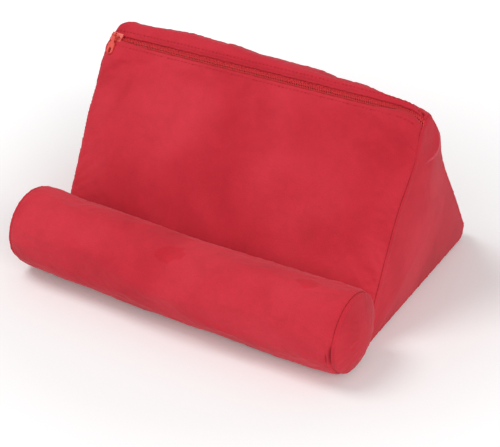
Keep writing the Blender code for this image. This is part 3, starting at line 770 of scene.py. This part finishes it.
class SidePanel:
    """A gusset, as rings drawn in from the outline to its middle."""

    def __init__(self, name, side):
        self.side = side
        self.track = whole_track()
        self.rings = rings = COARSE_GUSSET_RINGS
        around = round(self.track.total / COARSE / 1.5)
        self.length_step = self.track.total / around
        lengths = np.arange(around) * self.length_step
        q = (1 - np.arange(rings) / rings)[:, None] * np.ones(around)
        points, seam = self.points(lengths, q, q, np.zeros_like(q))
        pinned = np.zeros(q.shape, bool)
        pinned[0] = True
        self.patch = Patch(name, points, seam, pinned, wrap_columns=True, cap=GUSSET_MOVE_CAP)

    def outline(self, lengths):
        """The end's outline, pulled about as the seams of the panels are."""
        point, normal = self.track.at(lengths)
        z = point[:, 1]
        past_slot = ease(lengths, self.slot_start() - ZIP_SLOT, self.slot_start())
        bow = humps(z, FRONT_BOWS[self.side]) * (1 - past_slot)
        bow = bow + humps(z, BACK_BOWS[self.side]) * past_slot
        corner = np.full_like(z, self.side * WEDGE_HALF)
        fold = end_fold(corner, lengths - self.slot_start() + BACK_START) * past_slot
        return point + normal * (bow + fold)[:, None], normal

    def slot_start(self):
        """Length along the outline at which the back panel starts."""
        before = FOOT_RADIUS * (math.pi - FACE_ANGLE) + FACE_RUN
        before += BROW_RADIUS * (FACE_ANGLE - ZIP_TILT)
        return before + ZIP_SET_BACK - BROW_REACH + ZIP_SLOT / 2

    def spans(self, lengths):
        """The outline, its middle, and how far the middle lies from each seam there."""
        outline, normal = self.outline(lengths)
        middle = self.track.points.mean(axis=0)
        return outline, middle, np.abs(((outline - middle) * normal).sum(axis=1))[None]

    def points(self, lengths, q, sharp_q, depth, relief=0.0):
        """Places along the outline and shares q from the middle to it in the frame."""
        outline, middle, span = self.spans(lengths)
        section = middle + (outline - middle)[None] * q[..., None]
        seam = (1 - q) * span
        shift = humps(section[..., 1], SIDE_BOWS[self.side]) * (0.35 + 0.65 * sharp_q ** 2)
        height = SIDE_CROWN * (1 - sharp_q ** 2) ** 0.85 + shift
        if self.side > 0:
            crease = crease_height(section[..., 0], section[..., 1])
            height = height + crease * ease(seam, 0.001, 0.007)
        height = height - depth + relief
        section[..., 1] = np.maximum(section[..., 1], FLOOR_GAP)
        return place(self.side * (WEDGE_HALF + height), section), seam

    def fine(self, seed):
        """The gusset's fine rings, close together near its seam."""
        count = round(self.track.total / SEAM_STEP)
        lengths = np.arange(count) * self.track.total / count
        _, _, span = self.spans(lengths)
        steps = edge_steps(0.020, grain=0.0010)
        distance, depth, inner = near_edge(steps)
        fold_place = distance[-1] - inner[-1]
        share = np.linspace(1, 0, GUSSET_RINGS)[1:-1, None]
        q_edge, sharp_edge = 1 - distance[:, None] / span, 1 - inner[:, None] / (span - fold_place)
        q, sharp_q = (np.vstack((edge, edge[-1:] * share)) for edge in (q_edge, sharp_edge))
        depth = np.concatenate((depth, np.zeros(len(share))))[:, None]
        e = np.vstack((np.broadcast_to(steps[:, None], q_edge.shape), (1 - q[len(steps):]) * span))
        relief = seam_relief(lengths[None, :], e, seed)
        points, _ = self.points(lengths, q, sharp_q, depth, relief)
        rows = np.clip(1 - sharp_q, 0, 1) * self.rings
        points += self.patch.move_at(rows, lengths[None, :] / self.length_step)
        return above_floor(points)


SIDES = {1: SidePanel("side_right_coarse", 1), -1: SidePanel("side_left_coarse", -1)}


def wedge_side(side, word, seed, material):
    """A gusset, with a highlight painted along the crest of the right one's crease."""
    points = SIDES[side].fine(seed)
    grid = lattice(points if side > 0 else points[:, ::-1], wrap_columns=True, cap=True)
    # Painted highlight along the crest of the right gusset's crease.
    painted_shade_and_highlight = crease_painted_highlight(points) if side > 0 else None
    cloth_piece("wedge_side_" + word, "side_panel_" + word, grid, material, painted_shade_and_highlight)


def packed_copy(name, node, material):
    """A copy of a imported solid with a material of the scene."""
    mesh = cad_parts[node].data.copy()
    mesh.name = name
    mesh.materials.clear()
    mesh.materials.append(material)
    return add_object(name, mesh)


def inner_copy(name, node, inset, material):
    """A packed filling drawn in a little, so that it stays inside the gathered cover."""
    obj = packed_copy(name, node, material)
    mesh = obj.data
    co, normals = np.empty(len(mesh.vertices) * 3), np.empty(len(mesh.vertices) * 3)
    mesh.vertices.foreach_get("co", co)
    mesh.vertex_normals.foreach_get("vector", normals)
    mesh.vertices.foreach_set("co", co - normals * inset)
    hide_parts(node)
    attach(obj, "stand")


# Bolster roll

def roll_point(x, radius, angles):
    """Points of the roll, which bows forward between its ends and lies flat on the floor."""
    bow = -ROLL_BOW * (1 - (x / ROLL_HALF) ** 2)
    y = bow + radius * np.cos(angles) + ROLL_AXIS_Y
    z = ROLL_RADIUS + radius * np.sin(angles) + LEFT_LIFT * ease(-x, -0.02, ROLL_HALF)
    return np.stack(np.broadcast_arrays(x, y, np.maximum(z, FLOOR_GAP)), axis=-1)


def sleeve_radius(x, angles):
    """The sleeve's radius: tapered into its end seams and a little slack along its length."""
    end = ROLL_HALF - np.abs(x)
    taper = (ROLL_RADIUS - SEAM_RADIUS) * np.exp(-end / TAPER_REACH)
    slack = ROLL_SLACK * np.sin(x * 42 + 1.0) * np.cos(angles * 2 + 0.5) * ease(end, 0, 0.03)
    depth, along, around = WAIST
    waist = depth * hump(x, *along) * hump(np.mod(angles, 2 * math.pi), *around)
    return ROLL_RADIUS - taper + slack - waist - ROLL_MOVE_CAP * 0.8 * ease(end, 0.004, 0.04)


def tuck_shares(x, angles):
    """1 in the middle of the tuck beside the right end's seam, of the small one and of the lip."""
    end = ROLL_HALF - x
    round_it = ROLL_RADIUS * (np.mod(angles, 2 * math.pi) - TUCK_ANGLE)
    return [hump(end, *across) * hump(round_it, *around) for across, around in TUCKS]


def end_tuck(x, angles):
    """Heights of the tucks and the lip between them."""
    main, small, lip = tuck_shares(x, angles)
    return TUCK_LIP * lip - TUCK_DEPTH * main - SMALL_TUCK_DEPTH * small


class Sleeve:
    """The roll's tube of cloth, as rows round it and columns along it."""

    def __init__(self):
        count_x, around = round(2 * ROLL_HALF / COARSE), round(2 * math.pi * ROLL_RADIUS / COARSE)
        self.x_step, self.turn = 2 * ROLL_HALF / count_x, 2 * math.pi / around
        x = np.arange(count_x + 1) * self.x_step - ROLL_HALF
        angles = np.arange(around) * self.turn
        points = roll_point(x[None, :], sleeve_radius(x[None, :], angles[:, None]), angles[:, None])
        seam = np.broadcast_to((ROLL_HALF - np.abs(x))[None, :], points.shape[:2])
        self.patch = Patch("sleeve_coarse", points, seam, seam < 1e-6, wrap_rows=True,
                           cap=ROLL_MOVE_CAP)

    def fine(self):
        x, sharp, depth, e = seam_to_seam(ROLL_HALF, 0.0020)
        angles = ROLL_ANGLES[:, None]
        along = angles * ROLL_RADIUS + np.where(x < 0, 0.0, 1.0)[None, :]
        relief = seam_relief(along, e[None, :], 41, *ROLL_GATHERS)
        radius = sleeve_radius(sharp[None, :], angles) - depth[None, :] + relief
        radius = radius + end_tuck(x[None, :], angles)
        points = roll_point(x[None, :], radius, angles)
        columns = (sharp[None, :] + ROLL_HALF) / self.x_step
        return above_floor(points + self.patch.move_at(angles / self.turn, columns))


class Disc:
    """A round end of the roll, as rings drawn in from its seam."""

    def __init__(self, name, side):
        self.side, self.rings, around = side, COARSE_DISC_RINGS, COARSE_DISC_SIDES
        self.turn = 2 * math.pi / around
        angles = np.arange(around) * self.turn
        share = (1 - np.arange(self.rings) / self.rings)[:, None] * np.ones(around)
        points = self.points(share, share, angles[None, :], 0.0)
        seam = (1 - share) * SEAM_RADIUS
        self.patch = Patch(name, points, seam, share > 0.999, wrap_columns=True)

    def points(self, share, sharp, angles, depth):
        dome = DOME_HEIGHT * (1 - sharp ** 2) * (1 + 0.35 * sharp ** 2)
        sag = 1 - DISC_SAG * np.sin(angles) * sharp
        puff = DISC_PUFF * hump(sharp, 0.90, 0.10) * ease(1 - sharp, 0, 0.06)
        x = self.side * (ROLL_HALF + dome * sag - depth)
        return roll_point(x, share * SEAM_RADIUS + puff, angles)

    def fine(self):
        steps = edge_steps(SEAM_RADIUS * 0.96, grain=0.0012)
        distance, depth, inner = near_edge(steps)
        angles = ROLL_ANGLES[None, :]
        fold_place = distance[-1] - inner[-1]
        share = (1 - distance / SEAM_RADIUS)[:, None] * np.ones_like(angles)
        sharp = (1 - inner / (SEAM_RADIUS - fold_place))[:, None] * np.ones_like(angles)
        relief = seam_relief(angles * ROLL_RADIUS + 2.0, steps[:, None], 43, *ROLL_GATHERS)
        points = self.points(share, sharp, angles, depth[:, None] - relief)
        moves = self.patch.move_at((1 - sharp) * self.rings, angles / self.turn)
        return above_floor(points + moves * ease(sharp, 0.10, 0.60)[..., None])


SLEEVE = Sleeve()
DISCS = {1: Disc("disc_right_coarse", 1), -1: Disc("disc_left_coarse", -1)}


def roll_cloth(material):
    """The tube of cloth, with shade painted in its tucks, and the round ends."""
    points = SLEEVE.fine()
    main, small, _ = tuck_shares(points[..., 0], ROLL_ANGLES[:, None])
    # Painted shade in the tucks beside the right end, strongest in the main tuck.
    painted_shade_and_highlight = -np.maximum(main, 0.5 * small)
    cloth_piece("roll_tube", "roll_sleeve", lattice(points, wrap_rows=True), material, painted_shade_and_highlight)
    for side, word in ((1, "right"), (-1, "left")):
        points = DISCS[side].fine()
        grid = lattice(points[:, ::-1] if side > 0 else points, wrap_columns=True, cap=True)
        cloth_piece("roll_disc_" + word, "roll_end_" + word, grid, material)


# Thread

def ring_directions(first, second, sides):
    """Directions round each place of a line, from two that are square to it."""
    turn = (np.arange(sides) * 2 * math.pi / sides)[None, :, None]
    return np.cos(turn) * first[:, None] + np.sin(turn) * second[:, None]


def thread_run(centres, tangents, normals):
    """Short stitches of thread, each dipping into the cloth at its ends."""
    stations = len(THREAD_WIDTHS)
    share = np.linspace(-0.5, 0.5, stations)
    lift = THREAD * (THREAD_LIFT - THREAD_DIP * (2 * share) ** 2)
    rings = ring_directions(np.cross(tangents, normals), normals, THREAD_SIDES)
    grids = []
    for centre, tangent, normal, ring in zip(centres, tangents, normals, rings):
        middle = centre + np.outer(share * STITCH_LENGTH, tangent) + np.outer(lift, normal)
        tube = middle[:, None] + ring[None] * (THREAD * THREAD_WIDTHS)[:, None, None]
        grids.append(lattice(tube, wrap_columns=True))
    return joined(grids)


def stitched_line(line, normals, depth=0.0):
    """Stitches along a dense line of points, one each pitch."""
    lengths = lengths_along(line)
    places = np.arange(STITCH_PITCH, lengths[-1], STITCH_PITCH)
    tangents = unit(read_along(np.gradient(line, axis=0), lengths, places))
    outs = read_along(normals, lengths, places)
    outs = unit(outs - tangents * (outs * tangents).sum(axis=1, keepdims=True))
    return thread_run(read_along(line, lengths, places) - outs * depth, tangents, outs)


def joined(grids):
    """Several meshes as one."""
    verts, faces, offset = [], [], 0
    for points, quads in grids:
        verts.append(points)
        faces += [tuple(index + offset for index in quad) for quad in quads]
        offset += len(points)
    return np.concatenate(verts), faces


def trim(name, grids, material, slot, *nodes):
    """A small sewn or moulded piece on the cover."""
    verts, faces = joined(grids)
    piece = make_mesh(name, verts, faces)
    piece.data.materials.append(material)
    if nodes:
        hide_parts(*nodes)
    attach(piece, "stand")


def surface_at(panel, s, x):
    """Points of a panel's surface, with the cloth's moves."""
    flat = [panel.points(np.array([a]), np.array([b]), np.array([b]), np.zeros(1))[0, 0]
            for a, b in zip(s, x)]
    return np.array(flat) + panel.patch.move_at(s / panel.s_step, (x + WEDGE_HALF) / panel.x_step)


def line_on(panel, s, x):
    """Points of a panel's surface along a line, and their normals."""
    here, step = surface_at(panel, s, x), 0.0005
    du, dv = surface_at(panel, s + step, x) - here, surface_at(panel, s, x + step) - here
    return here, -unit(np.cross(dv, du))


def topstitching(material):
    """The two rows of stitches that hold the cover to the zipper's tapes."""
    x = np.linspace(-WEDGE_HALF + 0.004, WEDGE_HALF - 0.004, 180)
    rows = [(FACE, FACE_END - TOPSTITCH), (BACK, BACK_START + TOPSTITCH)]
    grids = []
    for panel, s in rows:
        line, normals = line_on(panel, np.full_like(x, s), x)
        normals *= np.sign(normals[:, 2:3])
        grids.append(stitched_line(line, normals, STITCH_DIMPLE * 0.3))
    trim("zip_topstitching", grids, material, None)


# Zipper

def zip_line(start=ZIP_LEFT + 0.001):
    """The zipper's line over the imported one, which lifts and dips with the cloth beside it."""
    x = np.linspace(start, WEDGE_HALF - 0.0004, 430)
    z = raised(x, ZIP_CENTRE[0], ZIP_CENTRE[1] - ZIP_SINK)
    line = np.stack((x, np.full_like(x, ZIP_CENTRE[0] + ROLL_AXIS_Y), z), axis=-1)
    slope = np.array((0, math.cos(ZIP_TILT), math.sin(ZIP_TILT)))
    out = np.array((0, -math.sin(ZIP_TILT), math.cos(ZIP_TILT)))
    return line, slope, out


def coil(side):
    """One nylon coil, a fine flattened helix."""
    line, slope, out = zip_line()
    turns = (line[-1, 0] - line[0, 0]) / COIL_PITCH
    t = np.linspace(0, turns, round(turns * 12))
    base = read_along(line, np.linspace(0, 1, len(line)), t / turns)
    phase = 2 * math.pi * t + (math.pi if side > 0 else 0)
    sideways = side * COIL_OFFSET + COIL_HALF_WIDTH * np.cos(phase)
    upward = COIL_HALF_HEIGHT * np.sin(phase)
    path = base + slope * sideways[:, None] + out * upward[:, None]
    tangent = unit(np.gradient(path, axis=0))
    first = unit(np.cross(tangent, out))
    ring = ring_directions(first, np.cross(tangent, first), COIL_SIDES)
    return lattice(path[:, None] + ring * COIL_WIRE, wrap_columns=True)


def tape_strip(side):
    """A woven tape beside the coil, slightly arched and tucked under the panel's edge."""
    line, slope, out = zip_line(-WEDGE_HALF + 0.0004)
    past_slider = ease(line[:, 0], SLIDER_LEFT - 0.0012, SLIDER_LEFT - 0.0002)
    inner = TAPES_MEET + TAPES_PART * past_slider
    reach_out = inner[None, :] + np.linspace(0, 1, 12)[:, None] * (TAPE_WIDTH - inner[None, :])
    at_fold = ease(line[:, 0], WEDGE_HALF - 0.011, WEDGE_HALF - 0.005) * (side > 0)
    drop = TAPE_DROP + TAPE_ARCH * ease(reach_out, 0.003, 0.006)
    drop = drop + TAPE_FOLD_DROP * ease(reach_out, 0.0024, 0.0050) * at_fold[None, :]
    points = line[None] + slope * (side * reach_out)[..., None] - out * drop[..., None]
    return lattice(points if side < 0 else points[::-1])


def zipper(tape, nylon, thread):
    """Tapes, coils, and the stitches that hold the coils to the tapes."""
    trim("zip_tape_weave_front", [tape_strip(-1)], tape, "zip_tape", "zip_tape_front")
    trim("zip_tape_weave_back", [tape_strip(1)], tape, "zip_tape", "zip_tape_back")
    trim("zip_coil_front", [coil(-1)], nylon, "zip_nylon", "zip_teeth_front")
    trim("zip_coil_back", [coil(1)], nylon, "zip_nylon", "zip_teeth_back")
    line, slope, out = zip_line()
    normals = np.broadcast_to(out, line.shape)
    rows = [stitched_line(line + slope * side * COIL_STITCHES - out * COIL_STITCH_SINK, normals)
            for side in (-1, 1)]
    trim("zip_coil_stitching", rows, thread, None)


def softened(name, node, body, width, material):
    """A packed metal piece with its edges rounded."""
    obj = packed_copy(name, node, material)
    weld = obj.modifiers.new("weld", "WELD")
    weld.merge_threshold = 0.00001
    bevel = obj.modifiers.new("bevel", "BEVEL")
    bevel.width = width
    bevel.segments = 3
    bevel.limit_method = "ANGLE"
    bevel.angle_limit = math.radians(35)
    obj.data.shade_smooth()
    obj.modifiers.new("normals", "WEIGHTED_NORMAL")
    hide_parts(node)
    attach(obj, body)


# Materials

def shader_material(name):
    """A new material, its tree, its shader and the places on the object."""
    material = bpy.data.materials.new(name)
    material.use_nodes = True
    tree = material.node_tree
    vector = tree.nodes.new("ShaderNodeTexCoord").outputs["Object"]
    return material, tree, tree.nodes["Principled BSDF"], vector


def fill(tree, node, inputs):
    """Sets inputs of a node, given as (name or index, value); a socket as value is linked."""
    for name, value in inputs:
        if isinstance(value, bpy.types.NodeSocket):
            tree.links.new(value, node.inputs[name])
        else:
            node.inputs[name].default_value = value


def add_node(tree, kind, inputs=(), **settings):
    """A node with its settings, which choose its sockets, and then its inputs."""
    node = tree.nodes.new("ShaderNode" + kind)
    for name, value in settings.items():
        setattr(node, name, value)
    fill(tree, node, inputs)
    return node


def noise(tree, vector, scale, detail=2.0, roughness=0.5, distortion=0.0):
    inputs = [("Scale", scale), ("Detail", detail), ("Roughness", roughness),
              ("Distortion", distortion), ("Vector", vector)]
    return add_node(tree, "TexNoise", inputs).outputs["Fac"]


def ramp(tree, value, stops):
    """A colour ramp; stops are (position, colour)."""
    node = add_node(tree, "ValToRGB", [("Fac", value)])
    elements = node.color_ramp.elements
    while len(elements) < len(stops):
        elements.new(0.5)
    for element, (position, colour) in zip(elements, stops):
        element.position = position
        element.color = (*colour, 1.0)
    return node.outputs["Color"]


def remap(tree, value, low, high, source=(0.0, 1.0)):
    """A value moved from the source range to the one from low to high."""
    inputs = [("Value", value), ("From Min", source[0]), ("From Max", source[1]),
              ("To Min", low), ("To Max", high)]
    return add_node(tree, "MapRange", inputs).outputs["Result"]


def multiplied(tree, *colours):
    """The product of colours."""
    product = colours[0]
    for colour in colours[1:]:
        inputs = [("Factor", 1.0), ("A", product), ("B", colour)]
        node = add_node(tree, "Mix", inputs, data_type="RGBA", blend_type="MULTIPLY")
        product = node.outputs["Result"]
    return product


def add_bump(tree, shader, heights):
    """Chains bumps of (height, strength, distance) into the shader's normal."""
    last = None
    for height, strength, distance in heights:
        inputs = [("Strength", strength), ("Distance", distance), ("Height", height)]
        if last is not None:
            inputs.append(("Normal", last))
        last = add_node(tree, "Bump", inputs).outputs["Normal"]
    fill(tree, shader, [("Normal", last)])


def brush_mark(tree, vector, middle, size, ragged):
    """A ragged patch round a place, 1 inside, where a hand has turned the pile."""
    inputs = [("Location", middle), ("Scale", size), ("Vector", vector)]
    shifted = add_node(tree, "Mapping", inputs, vector_type="TEXTURE").outputs["Vector"]
    length = add_node(tree, "VectorMath", [(0, shifted)], operation="LENGTH").outputs["Value"]
    inputs = [(0, length), (1, remap(tree, ragged, -0.9, 0.9))]
    total = add_node(tree, "Math", inputs, operation="ADD").outputs[0]
    return remap(tree, total, 1.0, 0.0, (0.86, 1.02))


def grained(name, grain, dyes, roughness, bump, inputs=()):
    """A material with one noise in its colour, roughness and bump."""
    material, tree, shader, vector = shader_material(name)
    speck = noise(tree, vector, *grain)
    fill(tree, shader, [("Base Color", ramp(tree, speck, dyes)),
                        ("Roughness", remap(tree, speck, *roughness)), *inputs])
    add_bump(tree, shader, [(speck, *bump)])
    return material


def microsuede():
    """Short napped cloth: patches where the pile lies another way, brush marks, a fibre grain, and
    painted shade and highlight read from the points.
    """
    material, tree, shader, vector = shader_material("red_microsuede")
    patches = noise(tree, vector, 13, 2, 0.45, 0.5)
    marks = noise(tree, vector, 34, 2, 0.4, 0.5)
    streaks = noise(tree, vector, 110, 3, 0.55, 0.8)
    fluff = noise(tree, vector, 620, 3, 0.6)
    fibres = noise(tree, vector, 2100, 2, 0.6)
    base = ramp(tree, patches, [(0.32, (0.53, 0.020, 0.036)), (0.5, (0.58, 0.026, 0.044)),
                                (0.66, (0.63, 0.034, 0.054))])
    brushed = ramp(tree, marks, [(0.30, (0.94, 0.90, 0.90)), (0.40, (0.99, 0.98, 0.98)),
                                 (0.70, (1.04, 1.07, 1.07))])
    shade = ramp(tree, streaks, [(0.3, (0.95, 0.94, 0.94)), (0.7, (1.03, 1.04, 1.04))])
    grain = ramp(tree, fibres, [(0.3, (0.90, 0.88, 0.88)), (0.7, (1.08, 1.10, 1.10))])
    colour = multiplied(tree, base, brushed, shade, grain)
    ragged = noise(tree, vector, 95, 3, 0.5, 0.4)
    for middle, size in BRUSH_MARKS:
        mark = brush_mark(tree, vector, middle, size, ragged)
        turned = ramp(tree, mark, [(0.0, (1.0, 1.0, 1.0)), (1.0, (0.96, 0.70, 0.74))])
        colour = multiplied(tree, colour, turned)
    # Painted shade where the point value is -1, dark in the hollow fold and the roll's tucks, and a
    # painted highlight where it is 1, pale along the crease's crest.
    painted_shade_and_highlight = add_node(tree, "Attribute", attribute_name="painted_shade_and_highlight").outputs["Fac"]
    painted_light_tint = ramp(tree, remap(tree, painted_shade_and_highlight, 0, 1, (-1, 1)),
                  [(0.08, (0.42, 0.12, 0.16)), (0.46, (1.0, 1.0, 1.0)), (0.55, (1.0, 1.0, 1.0)),
                   (0.95, (1.35, 4.6, 3.9))])
    fill(tree, shader, [("Base Color", multiplied(tree, colour, painted_light_tint)),
                        ("Roughness", remap(tree, streaks, 0.80, 0.98)),
                        ("Specular IOR Level", 0.22), ("Sheen Weight", 0.19),
                        ("Sheen Roughness", 0.42), ("Sheen Tint", (1.0, 0.50, 0.55, 1.0))])
    add_bump(tree, shader, [(streaks, 0.20, 0.0006), (fluff, 0.25, 0.0003), (fibres, 0.35, 0.0002)])
    return material


def thread_material():
    dyes = [(0.3, (0.40, 0.016, 0.026)), (0.7, (0.52, 0.026, 0.038))]
    return grained("red_thread", (2600, 2, 0.6), dyes, (0.7, 0.9), (0.4, 0.0001),
                   [("Specular IOR Level", 0.15)])


def lacquer_material():
    """Orange-red lacquer on cast metal, with a little wear."""
    dyes = [(0.35, (0.67, 0.064, 0.044)), (0.7, (0.75, 0.092, 0.066))]
    return grained("orange_red_lacquer", (420, 3, 0.6), dyes, (0.36, 0.52), (0.15, 0.0001),
                   [("Specular IOR Level", 0.4), ("Coat Weight", 0.10), ("Coat Roughness", 0.25)])


def nylon_material():
    dyes = [(0.3, (0.70, 0.040, 0.050)), (0.7, (0.80, 0.060, 0.070))]
    return grained("zip_nylon_orange", (900, 2, 0.5), dyes, (0.50, 0.65), (0.2, 0.0001),
                   [("Specular IOR Level", 0.25)])


def foam_material():
    dyes = [(0.3, (0.62, 0.58, 0.48)), (0.7, (0.84, 0.80, 0.70))]
    return grained("cell_foam", (700, 3, 0.6), dyes, (0.9, 1.0), (0.6, 0.0005))


def tape_material():
    """Woven tape: fine ribs along and across."""
    material, tree, shader, vector = shader_material("zip_tape_weave")
    ribs = []
    for direction, scale in (("X", 330), ("Y", 420)):
        inputs = [("Scale", scale), ("Distortion", 0.6), ("Vector", vector)]
        wave = add_node(tree, "TexWave", inputs, bands_direction=direction)
        ribs.append(wave.outputs["Fac"])
    colours = [ramp(tree, rib, [(0.1, (0.88, 0.86, 0.86)), (0.9, (1.0, 1.0, 1.0))]) for rib in ribs]
    speck = noise(tree, vector, 700, 2, 0.5)
    dye = ramp(tree, speck, [(0.3, (0.70, 0.036, 0.050)), (0.7, (0.82, 0.054, 0.068))])
    fill(tree, shader, [("Base Color", multiplied(tree, dye, *colours)),
                        ("Roughness", remap(tree, ribs[0], 0.8, 0.95)),
                        ("Specular IOR Level", 0.12)])
    add_bump(tree, shader, [(ribs[0], 0.5, 0.0002), (ribs[1], 0.4, 0.0002)])
    return material


# Stage

def floor_material():
    """A pale floor that keeps the soft shadow and grows white away from the stand."""
    material = bpy.data.materials.new("pale_floor")
    material.use_nodes = True
    tree = material.node_tree
    tree.nodes.clear()
    place_seen = tree.nodes.new("ShaderNodeTexCoord").outputs["Object"]
    away = add_node(tree, "VectorMath", [(0, place_seen)], operation="LENGTH").outputs["Value"]
    share = remap(tree, away, 0, 1, (0, FLOOR_REACH))
    lift = ramp(tree, share, [(position, [value] * 3) for position, value in FLOOR_LIFT])
    camera_ray = tree.nodes.new("ShaderNodeLightPath").outputs["Is Camera Ray"]
    strength = add_node(tree, "Math", [(0, camera_ray), (1, lift)], operation="MULTIPLY").outputs[0]
    glow = add_node(tree, "Emission", [("Strength", strength)]).outputs[0]
    diffuse = add_node(tree, "BsdfDiffuse", [("Color", (0.90, 0.90, 0.90, 1))]).outputs[0]
    both = add_node(tree, "AddShader", [(0, diffuse), (1, glow)]).outputs[0]
    add_node(tree, "OutputMaterial", [("Surface", both)])
    return material


def add_floor():
    bpy.ops.mesh.primitive_plane_add(size=12, location=(0, 0, 0))
    floor = bpy.context.object
    floor.name = "floor"
    floor.data.materials.append(floor_material())


def set_world():
    """Soft studio light all round, and plain white where the camera looks past the floor."""
    world = bpy.data.worlds.new("studio")
    world.use_nodes = True
    tree = world.node_tree
    tree.nodes.clear()
    rays = tree.nodes.new("ShaderNodeLightPath").outputs
    seen = rays["Is Camera Ray"]
    for ray in ("Is Glossy Ray", "Is Transmission Ray"):
        seen = add_node(tree, "Math", [(0, seen), (1, rays[ray])], operation="MAXIMUM").outputs[0]
    soft = [("Color", (1.0, 0.99, 0.985, 1)), ("Strength", WORLD_LIGHT)]
    white = [("Color", (1, 1, 1, 1)), ("Strength", 1.0)]
    soft, white = (add_node(tree, "Background", inputs).outputs[0] for inputs in (soft, white))
    mix = add_node(tree, "MixShader", [(0, seen), (1, soft), (2, white)]).outputs[0]
    add_node(tree, "OutputWorld", [("Surface", mix)])
    bpy.context.scene.world = world


def area_light(name, location, target, size, power):
    """A round lamp that faces a target."""
    data = bpy.data.lights.new(name, "AREA")
    data.shape = "DISK"
    data.size = size
    data.energy = power
    light = add_object(name, data)
    light.location = location
    aim = Vector(target) - Vector(location)
    light.rotation_euler = aim.to_track_quat("-Z", "Y").to_euler()


def add_lights():
    area_light("key", (-0.75, -0.45, 1.7), (0, 0, 0.05), 0.9, KEY_POWER)
    area_light("fill", (1.3, -1.0, 0.9), (0, 0, 0.06), 1.2, FILL_POWER)


def add_camera():
    az, el = CAMERA_AZIMUTH, CAMERA_ELEVATION
    towards = Vector((math.sin(az) * math.cos(el), -math.cos(az) * math.cos(el), math.sin(el)))
    level = Vector((math.cos(az), math.sin(az), 0))
    upright = towards.cross(level)
    right = level * math.cos(CAMERA_ROLL) + upright * math.sin(CAMERA_ROLL)
    up = upright * math.cos(CAMERA_ROLL) - level * math.sin(CAMERA_ROLL)
    data = bpy.data.cameras.new("camera")
    data.sensor_width = SENSOR
    data.lens = FOCAL_PIXELS / IMAGE_WIDTH * SENSOR
    data.clip_start = 0.05
    camera = add_object("camera", data)
    turn = Matrix((right, up, towards)).transposed().to_4x4()
    camera.matrix_world = Matrix.Translation(Vector(CAMERA_PLACE)) @ turn
    bpy.context.scene.camera = camera


def dress_stand():
    """Every piece of the stand, once its cloth has settled."""
    settle([FACE.patch, BACK.patch, SIDES[1].patch, SIDES[-1].patch, SLEEVE.patch,
            DISCS[1].patch, DISCS[-1].patch])
    suede, foam = microsuede(), foam_material()
    thread, lacquer = thread_material(), lacquer_material()
    wedge_front(suede)
    wedge_back(suede)
    wedge_base(suede)
    wedge_side(1, "right", 11, suede)
    wedge_side(-1, "left", 13, suede)
    roll_cloth(suede)
    inner_copy("wedge_filling", "wedge_foam", 0.004, foam)
    inner_copy("roll_core", "roll_filling", 0.0035, foam)
    topstitching(thread)
    zipper(tape_material(), nylon_material(), thread)
    softened("slider_rounded", "zip_slider", "stand", 0.00022, lacquer)
    softened("pull_rounded", "zip_pull", "pull", 0.00025, lacquer)


add_camera()
add_lights()
set_world()
add_floor()
bpy.context.scene.view_settings.view_transform = "Standard"
dress_stand()
